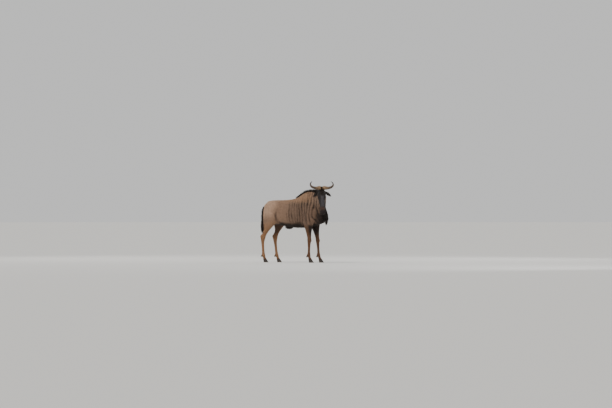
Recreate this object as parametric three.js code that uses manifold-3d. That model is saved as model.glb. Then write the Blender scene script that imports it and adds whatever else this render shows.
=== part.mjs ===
// A life-size standing blue wildebeest with its head turned to its right, as a group of solids.
// Millimetres, +Z up. The animal faces -Y, its left side is +X, and its hooves stand on Z = 0.
import * as THREE from 'three';
import { mergeVertices } from 'three/addons/utils/BufferGeometryUtils.js';
import Module from 'manifold-3d';

const wasm = await Module();
wasm.setup();

// Driving dimensions
const WITHERS_HEIGHT = 1400; // top of the shoulder hump, without the mane
const HEAD_LENGTH = 528; // poll to the front of the muzzle
const HEAD_YAW = 57; // degrees that the head is turned to the animal's right
const HEAD_PITCH = 65; // degrees that the nose points below the horizon
const POLL = new THREE.Vector3(-265, -393, 1446); // top of the head between the horns
const EYE_RADIUS = 22;
const EYE = { side: 55, along: 138, depth: 40 }; // middle of the eyeball, from the poll
const EAR = { length: 185, half: 34, thick: 9, cup: 16 };
const CORONET_HEIGHT = 58; // where the hair ends and the hoof begins
const CLEFT = 5; // width of the split between the two claws of a hoof
const ELBOW_CUT = 735; // height at which a foreleg leaves the trunk
const STIFLE_CUT = 800; // the same for a hind leg, at its middle
const TAIL_HAIR_TOP = 870; // where the dock goes over into long hair
const GAP = 0.4; // clearance between pieces that touch

// Looks: colour and roughness
const LOOKS = {
  coat: [0x8f7462, 0.8],
  dark_coat: [0x2b2422, 0.85],
  horn: [0x5a4a3c, 0.45],
  hoof: [0x1d1a18, 0.5],
  eye: [0x120d0a, 0.08],
  hair: [0x151312, 0.7],
};

const UP = new THREE.Vector3(0, 0, 1);
const DOWN = new THREE.Vector3(0, 0, -1);
const FORWARD = new THREE.Vector3(0, -1, 0);

// Value of one size at `at`, by a smooth curve through the stations
function sizeAt(stations, key, at) {
  const last = stations.length - 1;
  let i = 0;
  while (i < last - 1 && at > stations[i + 1].at) i += 1;
  const [a, b] = [stations[i], stations[i + 1]];
  const slope = (j) => {
    const [p, n] = [stations[Math.max(j - 1, 0)], stations[Math.min(j + 1, last)]];
    return (n[key] - p[key]) / (n.at - p.at);
  };
  const span = b.at - a.at;
  const t = (at - a.at) / span;
  const [t2, t3] = [t * t, t * t * t];
  return (
    (2 * t3 - 3 * t2 + 1) * a[key] +
    (t3 - 2 * t2 + t) * span * slope(i) +
    (3 * t2 - 2 * t3) * b[key] +
    (t3 - t2) * span * slope(i + 1)
  );
}

// Sections of plain columns: each row is at, x, y, z, up, down, half, squareUp, squareDown
function sections(rows) {
  const keys = ['at', 'x', 'y', 'z', 'up', 'down', 'half', 'squareUp', 'squareDown'];
  return rows.map((row) => Object.fromEntries(keys.map((key, i) => [key, row[i] ?? 2])));
}

// A closed surface through a row of oval sections. Each station gives the section's centre x, y, z, its reach
// up, down and to each side, and how square it is (2 is an ellipse). A cylinder's rings become the sections,
// and `grow` makes all of it larger by that much. `up` is where the sections' tops point. The sections stand
// across the path, or across `level` where that is given. roundStart and roundEnd are the lengths of
// domed ends.
function loft(stations, options, grow = 0) {
  const { around, along, up, level, ease = 0, roundStart = 0, roundEnd = 0 } = options;
  const geometry = new THREE.CylinderGeometry(1, 1, 1, around, along);
  const place = geometry.attributes.position;
  const [first, last] = [stations[0].at, stations[stations.length - 1].at];
  const stretch = level ? grow : 0;
  const [from, to] = [first - stretch, last + stretch];
  const value = (key, at) => sizeAt(stations, key, THREE.MathUtils.clamp(at, first, last));
  const centre = (at) => new THREE.Vector3(value('x', at), value('y', at), value('z', at));
  const step = (last - first) * 0.004;
  const domed = (distance, length) => {
    if (length === 0 || distance >= length) return 1;
    return Math.sqrt(1 - (1 - Math.max(distance, length * 0.012) / length) ** 2);
  };
  const point = new THREE.Vector3();
  for (let i = 0; i < place.count; i += 1) {
    point.fromBufferAttribute(place, i);
    const even = 0.5 - point.y;
    const eased = THREE.MathUtils.lerp(even, (1 - Math.cos(Math.PI * even)) / 2, ease);
    const at = THREE.MathUtils.lerp(from, to, eased);
    const inner = THREE.MathUtils.clamp(at, first + step, last - step);
    const ahead = level ? level.clone() : centre(inner + step).sub(centre(inner - step)).normalize();
    const rise = up.clone().addScaledVector(ahead, -up.dot(ahead)).normalize();
    const side = new THREE.Vector3().crossVectors(rise, ahead);
    const rim = Math.min(1, Math.hypot(point.x, point.z));
    const share = rim * domed(at - from, roundStart) * domed(to - at, roundEnd);
    const angle = Math.atan2(point.x, point.z);
    const high = Math.cos(angle) >= 0;
    const power = 2 / value(high ? 'squareUp' : 'squareDown', at);
    const across = Math.sign(Math.sin(angle)) * Math.abs(Math.sin(angle)) ** power;
    const upward = Math.sign(Math.cos(angle)) * Math.abs(Math.cos(angle)) ** power;
    const placed = centre(at)
      .addScaledVector(side, share * across * (value('half', at) + grow))
      .addScaledVector(rise, share * upward * (value(high ? 'up' : 'down', at) + grow))
      .addScaledVector(ahead, at - THREE.MathUtils.clamp(at, first, last));
    place.setXYZ(i, placed.x, placed.y, placed.z);
  }
  return geometry;
}

// A closed geometry as a solid with its faces pointing out
function solid(geometry) {
  geometry.deleteAttribute('normal');
  geometry.deleteAttribute('uv');
  const merged = mergeVertices(geometry, 1e-3);
  const vertProperties = merged.attributes.position.array;
  const build = (triVerts) => new wasm.Manifold(new wasm.Mesh({ numProp: 3, vertProperties, triVerts }));
  const triangles = new Uint32Array(merged.index.array);
  const made = build(triangles);
  if (made.volume() > 0) return made;
  for (let i = 0; i < triangles.length; i += 3) {
    [triangles[i + 1], triangles[i + 2]] = [triangles[i + 2], triangles[i + 1]];
  }
  return build(triangles);
}

const join = (...solids) => solids.reduce((all, next) => all.add(next));
const cut = (body, ...tools) => tools.reduce((left, tool) => left.subtract(tool), body);

// The side of a plane that its normal points to, short of the plane by half a gap
const beyond = (body, normal, point) => body.trimByPlane(normal.toArray(), normal.dot(point) + GAP / 2);
const before = (body, normal, point) => beyond(body, normal.clone().negate(), point);

// The largest of a solid's separate bodies
const largest = (body) => body.decompose().sort((a, b) => b.volume() - a.volume())[0];

// The trunk, from the buttocks to the front of the chest. Heights are above the ground.
function trunkLoft(grow) {
  const row = (y, top, bottom, half, widest, squareUp, squareDown) =>
    [-y, 0, y, widest, top - widest, widest - bottom, half, squareUp, squareDown];
  const stations = sections([
    row(965, 1110, 880, 80, 1000, 2.0, 2.0),
    row(930, 1165, 815, 130, 1000, 2.0, 2.0),
    row(860, 1203, 770, 164, 990, 2.0, 2.1),
    row(740, 1219, 742, 177, 975, 2.1, 2.2),
    row(580, 1222, 720, 182, 955, 2.1, 2.2),
    row(400, 1232, 690, 197, 935, 2.1, 2.2),
    row(240, 1268, 676, 198, 930, 1.9, 2.1),
    row(110, 1352, 676, 182, 940, 1.65, 2.0),
    row(0, WITHERS_HEIGHT, 684, 164, 945, 1.55, 1.9),
    row(-110, 1396, 704, 150, 935, 1.6, 1.9),
    row(-220, 1330, 738, 136, 925, 1.8, 1.9),
    row(-310, 1190, 770, 112, 915, 2.0, 2.0),
    row(-375, 1040, 815, 78, 905, 2.0, 2.0),
  ]);
  const options = { around: 28, along: 20, up: UP, level: FORWARD, ease: 0.3, roundStart: 90, roundEnd: 60 };
  return solid(loft(stations, options, grow));
}

// The tuft of hair under the belly
const belly = () => {
  const tuft = new THREE.SphereGeometry(1, 10, 6);
  tuft.scale(26, 85, 40).translate(0, 420, 688);
  return solid(tuft);
};

// The neck turns to the right as it rises to the head
function neckLoft(grow) {
  const stations = sections([
    [0, 0, 60, 1085, 280, 330, 150, 1.6, 1.9],
    [1, -4, -70, 1110, 294, 318, 138, 1.6, 1.9],
    [2, -28, -190, 1142, 264, 290, 118, 1.6, 1.9],
    [3, -85, -285, 1190, 212, 236, 101, 1.7, 1.9],
    [4, -155, -340, 1244, 160, 172, 91, 1.8, 2.0],
    [5, -215, -368, 1296, 112, 128, 84, 2.0, 2.0],
    [5.5, -240, -378, 1316, 92, 100, 78, 2.0, 2.0],
  ]);
  return solid(loft(stations, { around: 20, along: 12, up: UP, roundStart: 1.2, roundEnd: 0.5 }, grow));
}

// Each leg is one loft of level sections: z, y, reach ahead and behind, x, half width, squareness
const FORELEG = [
  [1310, 20, 60, 70, 70, 30],
  [1200, -10, 112, 120, 98, 50],
  [1060, -75, 152, 150, 116, 62],
  [930, -98, 150, 160, 124, 64],
  [820, -64, 122, 118, 124, 56],
  [735, -50, 92, 106, 120, 47],
  [620, -50, 62, 70, 113, 38, 2.1],
  [500, -55, 41, 44, 108, 29, 2.2],
  [432, -56, 43, 40, 107, 34, 2.5],
  [375, -54, 31, 36, 106, 25, 2.2],
  [270, -50, 25, 27, 105, 20, 2.1],
  [185, -47, 27, 30, 104, 22, 2.1],
  [137, -48, 33, 36, 104, 28, 2.2],
  [95, -62, 26, 28, 104, 24, 2.1],
  [CORONET_HEIGHT, -76, 36, 35, 104, 33, 2.2],
];

const HINDLEG = [
  [1200, 790, 80, 80, 62, 34],
  [1105, 785, 145, 132, 90, 60],
  [990, 778, 172, 155, 106, 75],
  [880, 774, 172, 160, 115, 69],
  [795, 776, 152, 148, 121, 60],
  [715, 818, 108, 106, 120, 50],
  [635, 862, 68, 64, 115, 39, 2.1],
  [565, 900, 48, 60, 111, 31, 2.1],
  [515, 926, 46, 74, 109, 31, 2.1],
  [465, 941, 44, 50, 108, 33, 2.4],
  [405, 948, 33, 36, 107, 26, 2.2],
  [300, 944, 27, 28, 106, 21, 2.1],
  [190, 936, 28, 31, 105, 22.5, 2.1],
  [140, 930, 34, 36, 105, 28, 2.2],
  [95, 915, 27, 29, 105, 24, 2.1],
  [CORONET_HEIGHT, 900, 36, 35, 105, 33, 2.2],
];

// Where each leg stands: heights on the leg, and how far forward of its outline the leg is there. `slope` and
// `at` are the cut where it leaves the trunk.
const STRAIGHT = [[1310, 0], [0, 0]];
const SHOULDER = { at: new THREE.Vector3(0, 0, ELBOW_CUT), slope: new THREE.Vector3(0, 0, -1) };
const HIP = { at: new THREE.Vector3(0, 760, STIFLE_CUT), slope: new THREE.Vector3(0, -0.24, -0.97) };
const LEGS = [
  {
    name: 'foreleg_left',
    rows: FORELEG,
    side: 1,
    steps: [[1310, 0], [1000, 12], [800, 30], [432, 82], [137, 116], [0, 126]],
    parting: SHOULDER,
  },
  { name: 'foreleg_right', rows: FORELEG, side: -1, steps: STRAIGHT, parting: SHOULDER },
  {
    name: 'hindleg_left',
    rows: HINDLEG,
    side: 1,
    steps: [[1200, 0], [1050, 24], [850, 84], [465, 162], [140, 188], [0, 196]],
    parting: HIP,
  },
  { name: 'hindleg_right', rows: HINDLEG, side: -1, steps: STRAIGHT, parting: HIP },
];

// How far forward of its outline a leg is at a height
function forwardAt(leg, z) {
  const steps = leg.steps.map(([height, forward]) => ({ at: -height, forward }));
  return sizeAt(steps, 'forward', -z);
}

function legLoft(leg, grow) {
  const stations = sections(
    leg.rows.map(([z, y, fore, aft, x, half, square]) => [
      -z, leg.side * x, y - forwardAt(leg, z), z, fore, aft, half, square, square,
    ]),
  );
  return solid(loft(stations, { around: 12, along: 27, up: FORWARD, level: DOWN, roundStart: 90 }, grow));
}

// Both claws of a hoof, with flat soles on the ground, for the inner (-1) and outer (1) claw
function claw(leg, half) {
  const [, coronetY, , , x] = leg.rows[leg.rows.length - 1];
  const y = coronetY - forwardAt(leg, CORONET_HEIGHT);
  const rows = [
    [-CORONET_HEIGHT + GAP, y, 35, 34, 32],
    [-40, y - 6, 44, 37, 36],
    [-18, y - 13, 51, 40, 39],
    [0, y - 18, 56, 43, 41],
  ];
  const stations = sections(rows.map(([at, ahead, fore, aft, wide]) => [
    at, leg.side * x, ahead, -at, fore, aft, wide, 1.9, 2.3,
  ]));
  const hoof = solid(loft(stations, { around: 14, along: 3, up: FORWARD, level: DOWN }));
  const split = new THREE.Vector3(half, 0, 0);
  return hoof.trimByPlane(split.toArray(), half * leg.side * x + CLEFT / 2);
}

// The small horny claw on each side behind the fetlock
function dewclaw(leg, half) {
  const [z, y, , aft, x] = leg.rows[leg.rows.length - 3];
  const back = y - forwardAt(leg, z) + aft;
  const middle = leg.side * x + half * 15;
  const stations = sections([
    [0, middle, back - 12, z + 8, 9, 9, 9],
    [1, middle + half * 2, back + 2, z - 6, 10, 10, 11],
    [2, middle + half * 4, back + 10, z - 24, 7, 7, 8],
    [2.6, middle + half * 5, back + 12, z - 36, 4, 4, 4],
  ]);
  return solid(loft(stations, { around: 6, along: 3, up: FORWARD }));
}

// The head is built facing -Y with its face line level and the poll at its origin. `face` carries a geometry
// from that place to where the head is, and `turned` does so for one built with the head's own tilt.
const turned = new THREE.Matrix4()
  .makeTranslation(POLL.x, POLL.y, POLL.z)
  .multiply(new THREE.Matrix4().makeRotationZ(THREE.MathUtils.degToRad(-HEAD_YAW)));
const face = turned.clone().multiply(new THREE.Matrix4().makeRotationX(THREE.MathUtils.degToRad(HEAD_PITCH)));

function headLoft(grow) {
  const row = (along, top, bottom, half, widest, squareUp, squareDown) =>
    [along, 0, -along, widest, top - widest, widest - bottom, half, squareUp, squareDown];
  const stations = sections([
    row(-42, -48, -120, 46, -80, 2.0, 2.0),
    row(0, -4, -168, 62, -70, 2.3, 2.0),
    row(55, 8, -205, 70, -62, 2.5, 1.9),
    row(115, 10, -222, 76, -48, 2.6, 1.8),
    row(165, 8, -214, 74, -48, 2.6, 1.8),
    row(225, 8, -190, 60, -56, 2.5, 1.8),
    row(300, 9, -160, 50, -58, 2.6, 1.9),
    row(375, 4, -134, 46, -56, 2.6, 2.0),
    row(440, -5, -121, 50, -56, 2.5, 2.1),
    row(485, -16, -118, 54, -58, 2.4, 2.2),
    row(512, -30, -112, 49, -62, 2.2, 2.2),
    row(HEAD_LENGTH, -44, -100, 36, -68, 2.0, 2.0),
  ]);
  const options = { around: 20, along: 22, up: UP, level: FORWARD, ease: 0.2, roundStart: 40, roundEnd: 14 };
  return solid(loft(stations, options, grow).applyMatrix4(face));
}

const eyeBall = (side, grow) =>
  solid(
    new THREE.SphereGeometry(EYE_RADIUS + grow, 12, 7)
      .translate(side * EYE.side, -EYE.along, -EYE.depth)
      .applyMatrix4(face),
  );

// A horn leaves its boss level, dips a little, and turns up and in at the tip
function hornLoft(side, grow) {
  const stations = sections([
    [0, side * 9, -8, 8, 36, 34, 26],
    [1, side * 50, -20, 9, 38, 38, 31],
    [2, side * 110, -34, 6, 29, 30, 27],
    [3, side * 168, -40, 16, 24, 24, 23],
    [4, side * 211, -34, 44, 20, 20, 19],
    [5, side * 224, -20, 82, 14, 14, 14],
    [6, side * 208, -6, 114, 9, 9, 9],
    [7, side * 184, 6, 136, 3, 3, 3],
  ]);
  const up = new THREE.Vector3(-side * 0.5, 0, 1);
  return solid(loft(stations, { around: 9, along: 14, up, roundStart: 0.15 }, grow).applyMatrix4(turned));
}

// A leaf-shaped ear, cupped to the front, that hangs below the horn: the left one out, the right one back
function earLoft(side, grow) {
  const thick = EAR.thick / 2;
  const row = (share, half, more = 1) =>
    [share * EAR.length, 0, 0, share * EAR.length, thick * more, thick * more, half];
  const leaf = loft(
    sections([row(0, 16, 3), row(0.15, 21, 2), row(0.4, EAR.half), row(0.65, 30), row(0.88, 14), row(1, 4)]),
    { around: 10, along: 8, up: FORWARD, level: UP, roundEnd: 6 },
    grow,
  );
  const place = leaf.attributes.position;
  for (let i = 0; i < place.count; i += 1) {
    const spread = (place.getX(i) / EAR.half) ** 2;
    place.setY(i, place.getY(i) - EAR.cup * spread);
  }
  const droop = side > 0 ? new THREE.Vector3(0.8, 0.22, -0.56) : new THREE.Vector3(-0.5, 0.6, -0.62);
  const out = droop.normalize();
  const back = FORWARD.clone().negate().addScaledVector(out, -out.y).normalize();
  const across = new THREE.Vector3().crossVectors(back, out);
  const pose = new THREE.Matrix4().makeBasis(across, back, out).setPosition(side * 56, 34, -58);
  return solid(leaf.applyMatrix4(pose).applyMatrix4(turned));
}

// The hair of the forehead, from between the horns down to the eyes
function forelockLoft() {
  const stations = sections([
    [-30, 0, 30, -22, 42, 20, 22],
    [0, 0, 0, -4, 44, 20, 30],
    [60, 0, -60, -2, 27, 20, 36],
    [130, 0, -130, -4, 21, 20, 30],
    [185, 0, -185, -4, 16, 20, 16],
  ]);
  const options = { around: 8, along: 7, up: UP, level: FORWARD, roundStart: 12, roundEnd: 20 };
  return solid(loft(stations, options).applyMatrix4(face));
}

// The mane stands along the crest from behind the horns to past the withers
function maneLoft() {
  return solid(
    loft(
      sections([
        [0, -222, -352, 1412, 34, 44, 12],
        [1, -170, -330, 1406, 38, 44, 15],
        [2, -88, -282, 1400, 44, 44, 17],
        [3, -28, -190, 1403, 46, 44, 18],
        [4, -4, -70, 1403, 44, 44, 18],
        [5, 0, 50, 1380, 44, 44, 17],
        [6, 0, 160, 1316, 38, 40, 15],
        [7, 0, 265, 1262, 20, 30, 9],
      ]),
      { around: 6, along: 20, up: UP, roundStart: 0.3, roundEnd: 0.5 },
    ),
  );
}

// The beard hangs from the throat down to the chest, as level sections from the top
function beardLoft() {
  const rows = [
    [1215, -196, -376, 24, 30, 18],
    [1130, -182, -392, 44, 60, 30],
    [1030, -138, -404, 42, 80, 36],
    [930, -88, -404, 48, 80, 36],
    [830, -52, -396, 36, 60, 28],
    [742, -34, -384, 12, 20, 12],
  ];
  const stations = sections(rows.map(([z, x, y, fore, aft, half]) => [-z, x, y, z, fore, aft, half]));
  const hanging = { around: 12, along: 9, up: FORWARD, level: DOWN, roundStart: 20, roundEnd: 16 };
  return solid(loft(stations, hanging));
}

// The tail's dock, and below it the long hair down to the hocks
const TAIL = sections([
  [0, 0, 925, 1096, 24, 26, 22],
  [1, 0, 968, 1080, 22, 24, 20],
  [2, 0, 992, 1030, 19, 20, 18],
  [3, 0, 1000, 960, 18, 19, 18],
  [4, 0, 1002, TAIL_HAIR_TOP - 10, 19, 20, 20],
]);
const TAIL_HAIR = sections([
  [-TAIL_HAIR_TOP, 0, 1002, TAIL_HAIR_TOP, 20, 21, 21],
  [-790, 0, 1004, 790, 27, 27, 27],
  [-700, 0, 1005, 700, 33, 33, 33],
  [-620, 0, 1004, 620, 30, 31, 31],
  [-570, 0, 1003, 570, 12, 12, 12],
]);

// Joins and cuts that part the flesh
const legs = LEGS.map((leg) => ({ ...leg, whole: legLoft(leg, 0), grown: legLoft(leg, GAP) }));
const trunkGrown = trunkLoft(GAP);
const headGrown = headLoft(GAP);
const neckGrown = neckLoft(GAP);
const NECK_PARTING = {
  at: new THREE.Vector3(0, -130, 1396),
  slope: new THREE.Vector3(-0.15, -0.86, 0.48).normalize(),
};

const upperLegs = legs.map((leg) => before(leg.whole, leg.parting.slope, leg.parting.at));
const flesh = cut(join(trunkLoft(0), belly(), neckLoft(0), ...upperLegs), headGrown);
const pieces = [];
const add = (name, look, body) => pieces.push({ name, look, body: largest(body) });

add('trunk', 'coat', before(flesh, NECK_PARTING.slope, NECK_PARTING.at));
add('neck', 'coat', beyond(flesh, NECK_PARTING.slope, NECK_PARTING.at));
for (const leg of legs) {
  add(leg.name, 'coat', cut(beyond(leg.whole, leg.parting.slope, leg.parting.at), trunkGrown));
  for (const half of [-1, 1]) {
    const [end, sideName] = leg.name.split('_');
    const place = `${end.replace('leg', '')}_${sideName}_${half * leg.side > 0 ? 'outer' : 'inner'}`;
    add(`claw_${place}`, 'hoof', claw(leg, half));
    add(`dewclaw_${place}`, 'hoof', cut(dewclaw(leg, half), leg.grown));
  }
}

const forelock = forelockLoft();
const sides = { left: 1, right: -1 };
const sockets = Object.values(sides).map((side) => eyeBall(side, GAP));
const horns = Object.values(sides).map((side) => hornLoft(side, GAP));
const ears = Object.values(sides).map((side) => earLoft(side, GAP));
add('head', 'dark_coat', cut(headLoft(0), ...sockets));
for (const [name, side] of Object.entries(sides)) {
  add(`eye_${name}`, 'eye', eyeBall(side, 0));
  add(`horn_${name}`, 'horn', cut(hornLoft(side, 0), headGrown, neckGrown));
  add(`ear_${name}`, 'dark_coat', cut(earLoft(side, 0), headGrown, neckGrown, ...horns));
}
add('forelock', 'hair', cut(forelock, headGrown, neckGrown, ...horns, ...sockets));
const underMane = [headGrown, neckGrown, trunkGrown, ...legs.map((leg) => leg.grown), ...horns, ...ears];
add('mane', 'hair', cut(maneLoft(), ...underMane));
add('beard', 'hair', cut(beardLoft(), headGrown, neckGrown, trunkGrown, ...legs.map((leg) => leg.grown)));
const wholeDock = solid(loft(TAIL, { around: 10, along: 8, up: UP }));
const dock = beyond(wholeDock, UP, new THREE.Vector3(0, 0, TAIL_HAIR_TOP));
add('tail', 'dark_coat', cut(dock, trunkGrown));
const tailHair = loft(TAIL_HAIR, { around: 10, along: 8, up: FORWARD, level: DOWN, roundEnd: 24 });
add('tail_tuft', 'hair', solid(tailHair.translate(0, 0, -GAP / 2)));

// A solid as a mesh with its own material
function mesh({ name, look, body }) {
  const { vertProperties, triVerts } = body.getMesh();
  const geometry = new THREE.BufferGeometry();
  geometry.setAttribute('position', new THREE.BufferAttribute(vertProperties, 3));
  geometry.setIndex(new THREE.BufferAttribute(triVerts, 1));
  const [color, roughness] = LOOKS[look];
  const made = new THREE.Mesh(geometry, new THREE.MeshStandardMaterial({ color, roughness, metalness: 0 }));
  made.name = name;
  return made;
}

// The origin is at the middle of the whole model's box, on the ground
const animal = new THREE.Group();
pieces.forEach((piece) => animal.add(mesh(piece)));
const middle = new THREE.Box3().setFromObject(animal).getCenter(new THREE.Vector3());
animal.position.set(-middle.x, -middle.y, 0);

export default animal;
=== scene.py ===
"""A standing blue wildebeest as a still, life-size model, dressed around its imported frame.

One skin takes the place of the flesh, with folds, lids and lips modelled in it. Over it lie tufts of short
coat and locks of long hair, and the horns, eyes and hooves are finer copies of their solids. Sizes are in
metres. Body space has its origin on the ground under the withers, with the animal facing -Y. Head space has
its origin at the poll, with the nose towards -Y, the face line level and the animal's left at +X.
"""
import logging
import math
from dataclasses import dataclass, field
from enum import Enum

import bmesh
import bpy
import numpy as np
from mathutils import Matrix, Vector, kdtree
from mathutils.bvhtree import BVHTree


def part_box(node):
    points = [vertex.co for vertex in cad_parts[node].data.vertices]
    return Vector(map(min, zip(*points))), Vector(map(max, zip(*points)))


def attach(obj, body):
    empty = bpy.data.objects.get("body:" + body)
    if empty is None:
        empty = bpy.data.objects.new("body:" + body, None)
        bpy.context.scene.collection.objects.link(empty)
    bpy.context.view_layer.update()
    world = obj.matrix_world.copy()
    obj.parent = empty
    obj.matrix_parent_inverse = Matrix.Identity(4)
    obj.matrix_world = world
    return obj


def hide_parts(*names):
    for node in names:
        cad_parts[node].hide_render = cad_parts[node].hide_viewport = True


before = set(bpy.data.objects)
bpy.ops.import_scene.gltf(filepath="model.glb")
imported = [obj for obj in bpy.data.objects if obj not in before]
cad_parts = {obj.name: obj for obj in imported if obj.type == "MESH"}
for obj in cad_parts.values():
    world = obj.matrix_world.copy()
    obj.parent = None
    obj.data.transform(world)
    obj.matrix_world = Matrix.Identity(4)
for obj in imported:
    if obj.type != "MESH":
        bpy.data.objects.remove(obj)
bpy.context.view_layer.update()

logging.basicConfig(level=logging.INFO, format="%(message)s")
LOG = logging.getLogger("wildebeest")

POLL = Vector((-0.265, -0.393, 1.446))
HEAD_YAW = math.radians(57)
HEAD_PITCH = math.radians(65)
EYE_RADIUS = 0.022
EYE_PLACE = (0.055, -0.138, -0.040)
TURNED = Matrix.Translation(POLL) @ Matrix.Rotation(-HEAD_YAW, 4, "Z")
FACE = TURNED @ Matrix.Rotation(HEAD_PITCH, 4, "X")
SEED = 41

# How strongly the carved shapes of the body and of the face stand out
BODY_RELIEF = 1.3
FACE_RELIEF = 1.45
# The skin is painted darker than the coat over it, partly a darker undercoat and partly painted shade in the
# gaps between the tufts
SKIN_GAP_SHADE = 0.84
# The top of the hooves' bare horn, in metres over the ground
CORONET = 0.055
# How the waves that make things uneven are summed: how many in a layer, their height, how much lower each
# finer layer is, and what brings the sum to about 1
LAYER_WAVES = 5
WAVE_HEIGHT = 0.45
LAYER_FADE = 1.7
WAVE_SUM = 1.6


def body_shift() -> Vector:
    """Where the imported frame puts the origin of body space, found from the two eyes.

    Returns:
        The origin of body space, in the frame.
    """
    corners = [corner for side in ("left", "right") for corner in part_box(f"eye_{side}")]
    middle = sum(corners, Vector()) / len(corners)
    return middle - FACE @ Vector((0.0, EYE_PLACE[1], EYE_PLACE[2]))


SHIFT = body_shift()
SHIFT.z = 0.0
BODY = np.array(SHIFT)
HEAD_TURN = np.array(FACE.to_3x3())
TURNED_AXES = np.array(TURNED.to_3x3())
HEAD_ORIGIN = np.array(POLL) + BODY


def to_head(points: np.ndarray) -> np.ndarray:
    """Points of the frame in head space."""
    return (points - HEAD_ORIGIN) @ HEAD_TURN


def from_head(points: np.ndarray) -> np.ndarray:
    """Points of head space in the frame."""
    return points @ HEAD_TURN.T + HEAD_ORIGIN


def unit(vectors: np.ndarray) -> np.ndarray:
    """Vectors at length one."""
    return vectors / np.maximum(np.linalg.norm(vectors, axis=-1, keepdims=True), 1e-9)


def ramp(low: float, high: float, value: np.ndarray) -> np.ndarray:
    """A smooth step from 0 at low to 1 at high.

    Args:
        low: Where the step starts. It may lie above high.
        high: Where the step ends.
        value: The values to look up.

    Returns:
        The step's height at each value.
    """
    t = np.clip((value - low) / (high - low), 0.0, 1.0)
    return t * t * (3.0 - 2.0 * t)


def folded(points: np.ndarray) -> np.ndarray:
    """A copy of the points, all mirrored to the left side.

    Args:
        points: Points of body space or of head space.

    Returns:
        The mirrored points.
    """
    points = points.copy()
    points[:, 0] = np.abs(points[:, 0])
    return points


def from_eye(head: np.ndarray) -> np.ndarray:
    """How far points of head space are from the middle of the nearer eye."""
    return np.linalg.norm(folded(head) - EYE_PLACE, axis=1)


def paint(red: int, green: int, blue: int) -> np.ndarray:
    """A screen colour, 0 to 255, as a linear one."""
    screen = np.array([red, green, blue]) / 255.0
    return np.where(screen <= 0.04045, screen / 12.92, ((screen + 0.055) / 1.055) ** 2.4)


def blend(low: np.ndarray, high: np.ndarray, share: np.ndarray) -> np.ndarray:
    """Colours between two others, by a share for each point."""
    return low + (high - low) * share[:, None]


def layered(base: tuple, count: int, *layers: tuple) -> np.ndarray:
    """A colour for each point, with tints laid over it one after the other.

    Args:
        base: The screen colour under them.
        count: How many points there are.
        layers: For each layer its screen colour and its share at each point.

    Returns:
        A linear colour for each point.
    """
    colour = np.tile(paint(*base), (count, 1))
    for tint, share in layers:
        colour = blend(colour, paint(*tint), np.clip(share, 0, 1))
    return colour


def waves(points: np.ndarray, size: float, seed: int, octaves: int = 3) -> np.ndarray:
    """Smooth uneven values from sums of turned sine waves, about -1 to 1.

    Args:
        points: Where to read the values.
        size: The length of the longest waves.
        seed: Which pattern.
        octaves: How many finer layers are added.

    Returns:
        One value for each point.
    """
    rng = np.random.default_rng(seed)
    total = np.zeros(len(points))
    for layer in range(octaves):
        for _ in range(LAYER_WAVES):
            way = unit(rng.normal(size=3)) * 2.0 * math.pi / size * 2.0**layer
            total += np.sin(points @ way + rng.uniform(0, 6.28)) * WAVE_HEIGHT / LAYER_FADE**layer
    return total / WAVE_SUM


class Region(Enum):
    """The parts of the body whose coat differs."""

    TRUNK = 0
    NECK = 1
    HEAD = 2
    EAR = 3
    FORELEG = 4
    HINDLEG = 5
    TAIL = 6


REGION_OF = {
    "trunk": Region.TRUNK,
    "neck": Region.NECK,
    "head": Region.HEAD,
    "ear_left": Region.EAR,
    "ear_right": Region.EAR,
    "foreleg_left": Region.FORELEG,
    "foreleg_right": Region.FORELEG,
    "hindleg_left": Region.HINDLEG,
    "hindleg_right": Region.HINDLEG,
    "tail": Region.TAIL,
}


@dataclass(frozen=True)
class CoatStyle:
    """The short hair of one region.

    Attributes:
        depth: How far the skin lies under the tips of the coat.
        length: Length of a tuft.
        width: Width of a tuft at its root.
        lift: How far a tuft's tip stands off the skin, as a share of its length.
        layers: How many tufts lie over each other.
        smoothing: How far the solids' flat faces are smoothed away under it, 0 to 1.
    """

    depth: float
    length: float
    width: float
    lift: float
    layers: float
    smoothing: float


COAT = {
    Region.TRUNK: CoatStyle(0.0050, 0.023, 0.0044, 0.17, 2.4, 1.0),
    Region.NECK: CoatStyle(0.0060, 0.030, 0.0050, 0.17, 2.6, 1.0),
    Region.HEAD: CoatStyle(0.0022, 0.0095, 0.0024, 0.14, 2.2, 0.35),
    Region.EAR: CoatStyle(0.0010, 0.009, 0.0022, 0.07, 1.6, 0.12),
    Region.FORELEG: CoatStyle(0.0026, 0.012, 0.0030, 0.13, 2.0, 0.40),
    Region.HINDLEG: CoatStyle(0.0026, 0.013, 0.0032, 0.13, 2.0, 0.40),
    Region.TAIL: CoatStyle(0.0060, 0.040, 0.0050, 0.12, 2.5, 0.30),
}


def by_region(trait: str) -> np.ndarray:
    """One trait of the coat for every region, in the order of the regions."""
    return np.array([getattr(COAT[region], trait) for region in Region])


# How far forward of the right legs the left ones stand, at heights from the ground up
LEFT_STEPS = {
    Region.FORELEG: ((0.0, 0.137, 0.432, 0.8, 1.0, 1.31), (0.126, 0.116, 0.082, 0.03, 0.012, 0.0)),
    Region.HINDLEG: ((0.0, 0.14, 0.465, 0.85, 1.05, 1.2), (0.196, 0.188, 0.162, 0.084, 0.024, 0.0)),
}


def stood_even(points: np.ndarray, region: Region) -> np.ndarray:
    """Points of body space, with the left leg of a pair moved back beside the right one.

    Args:
        points: Points of body space.
        region: The region of the pair.

    Returns:
        The moved points.
    """
    points = points.copy()
    step = np.interp(points[:, 2], *LEFT_STEPS[region])
    points[:, 1] += np.where(points[:, 0] > 0, step, 0.0)
    return points



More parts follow.
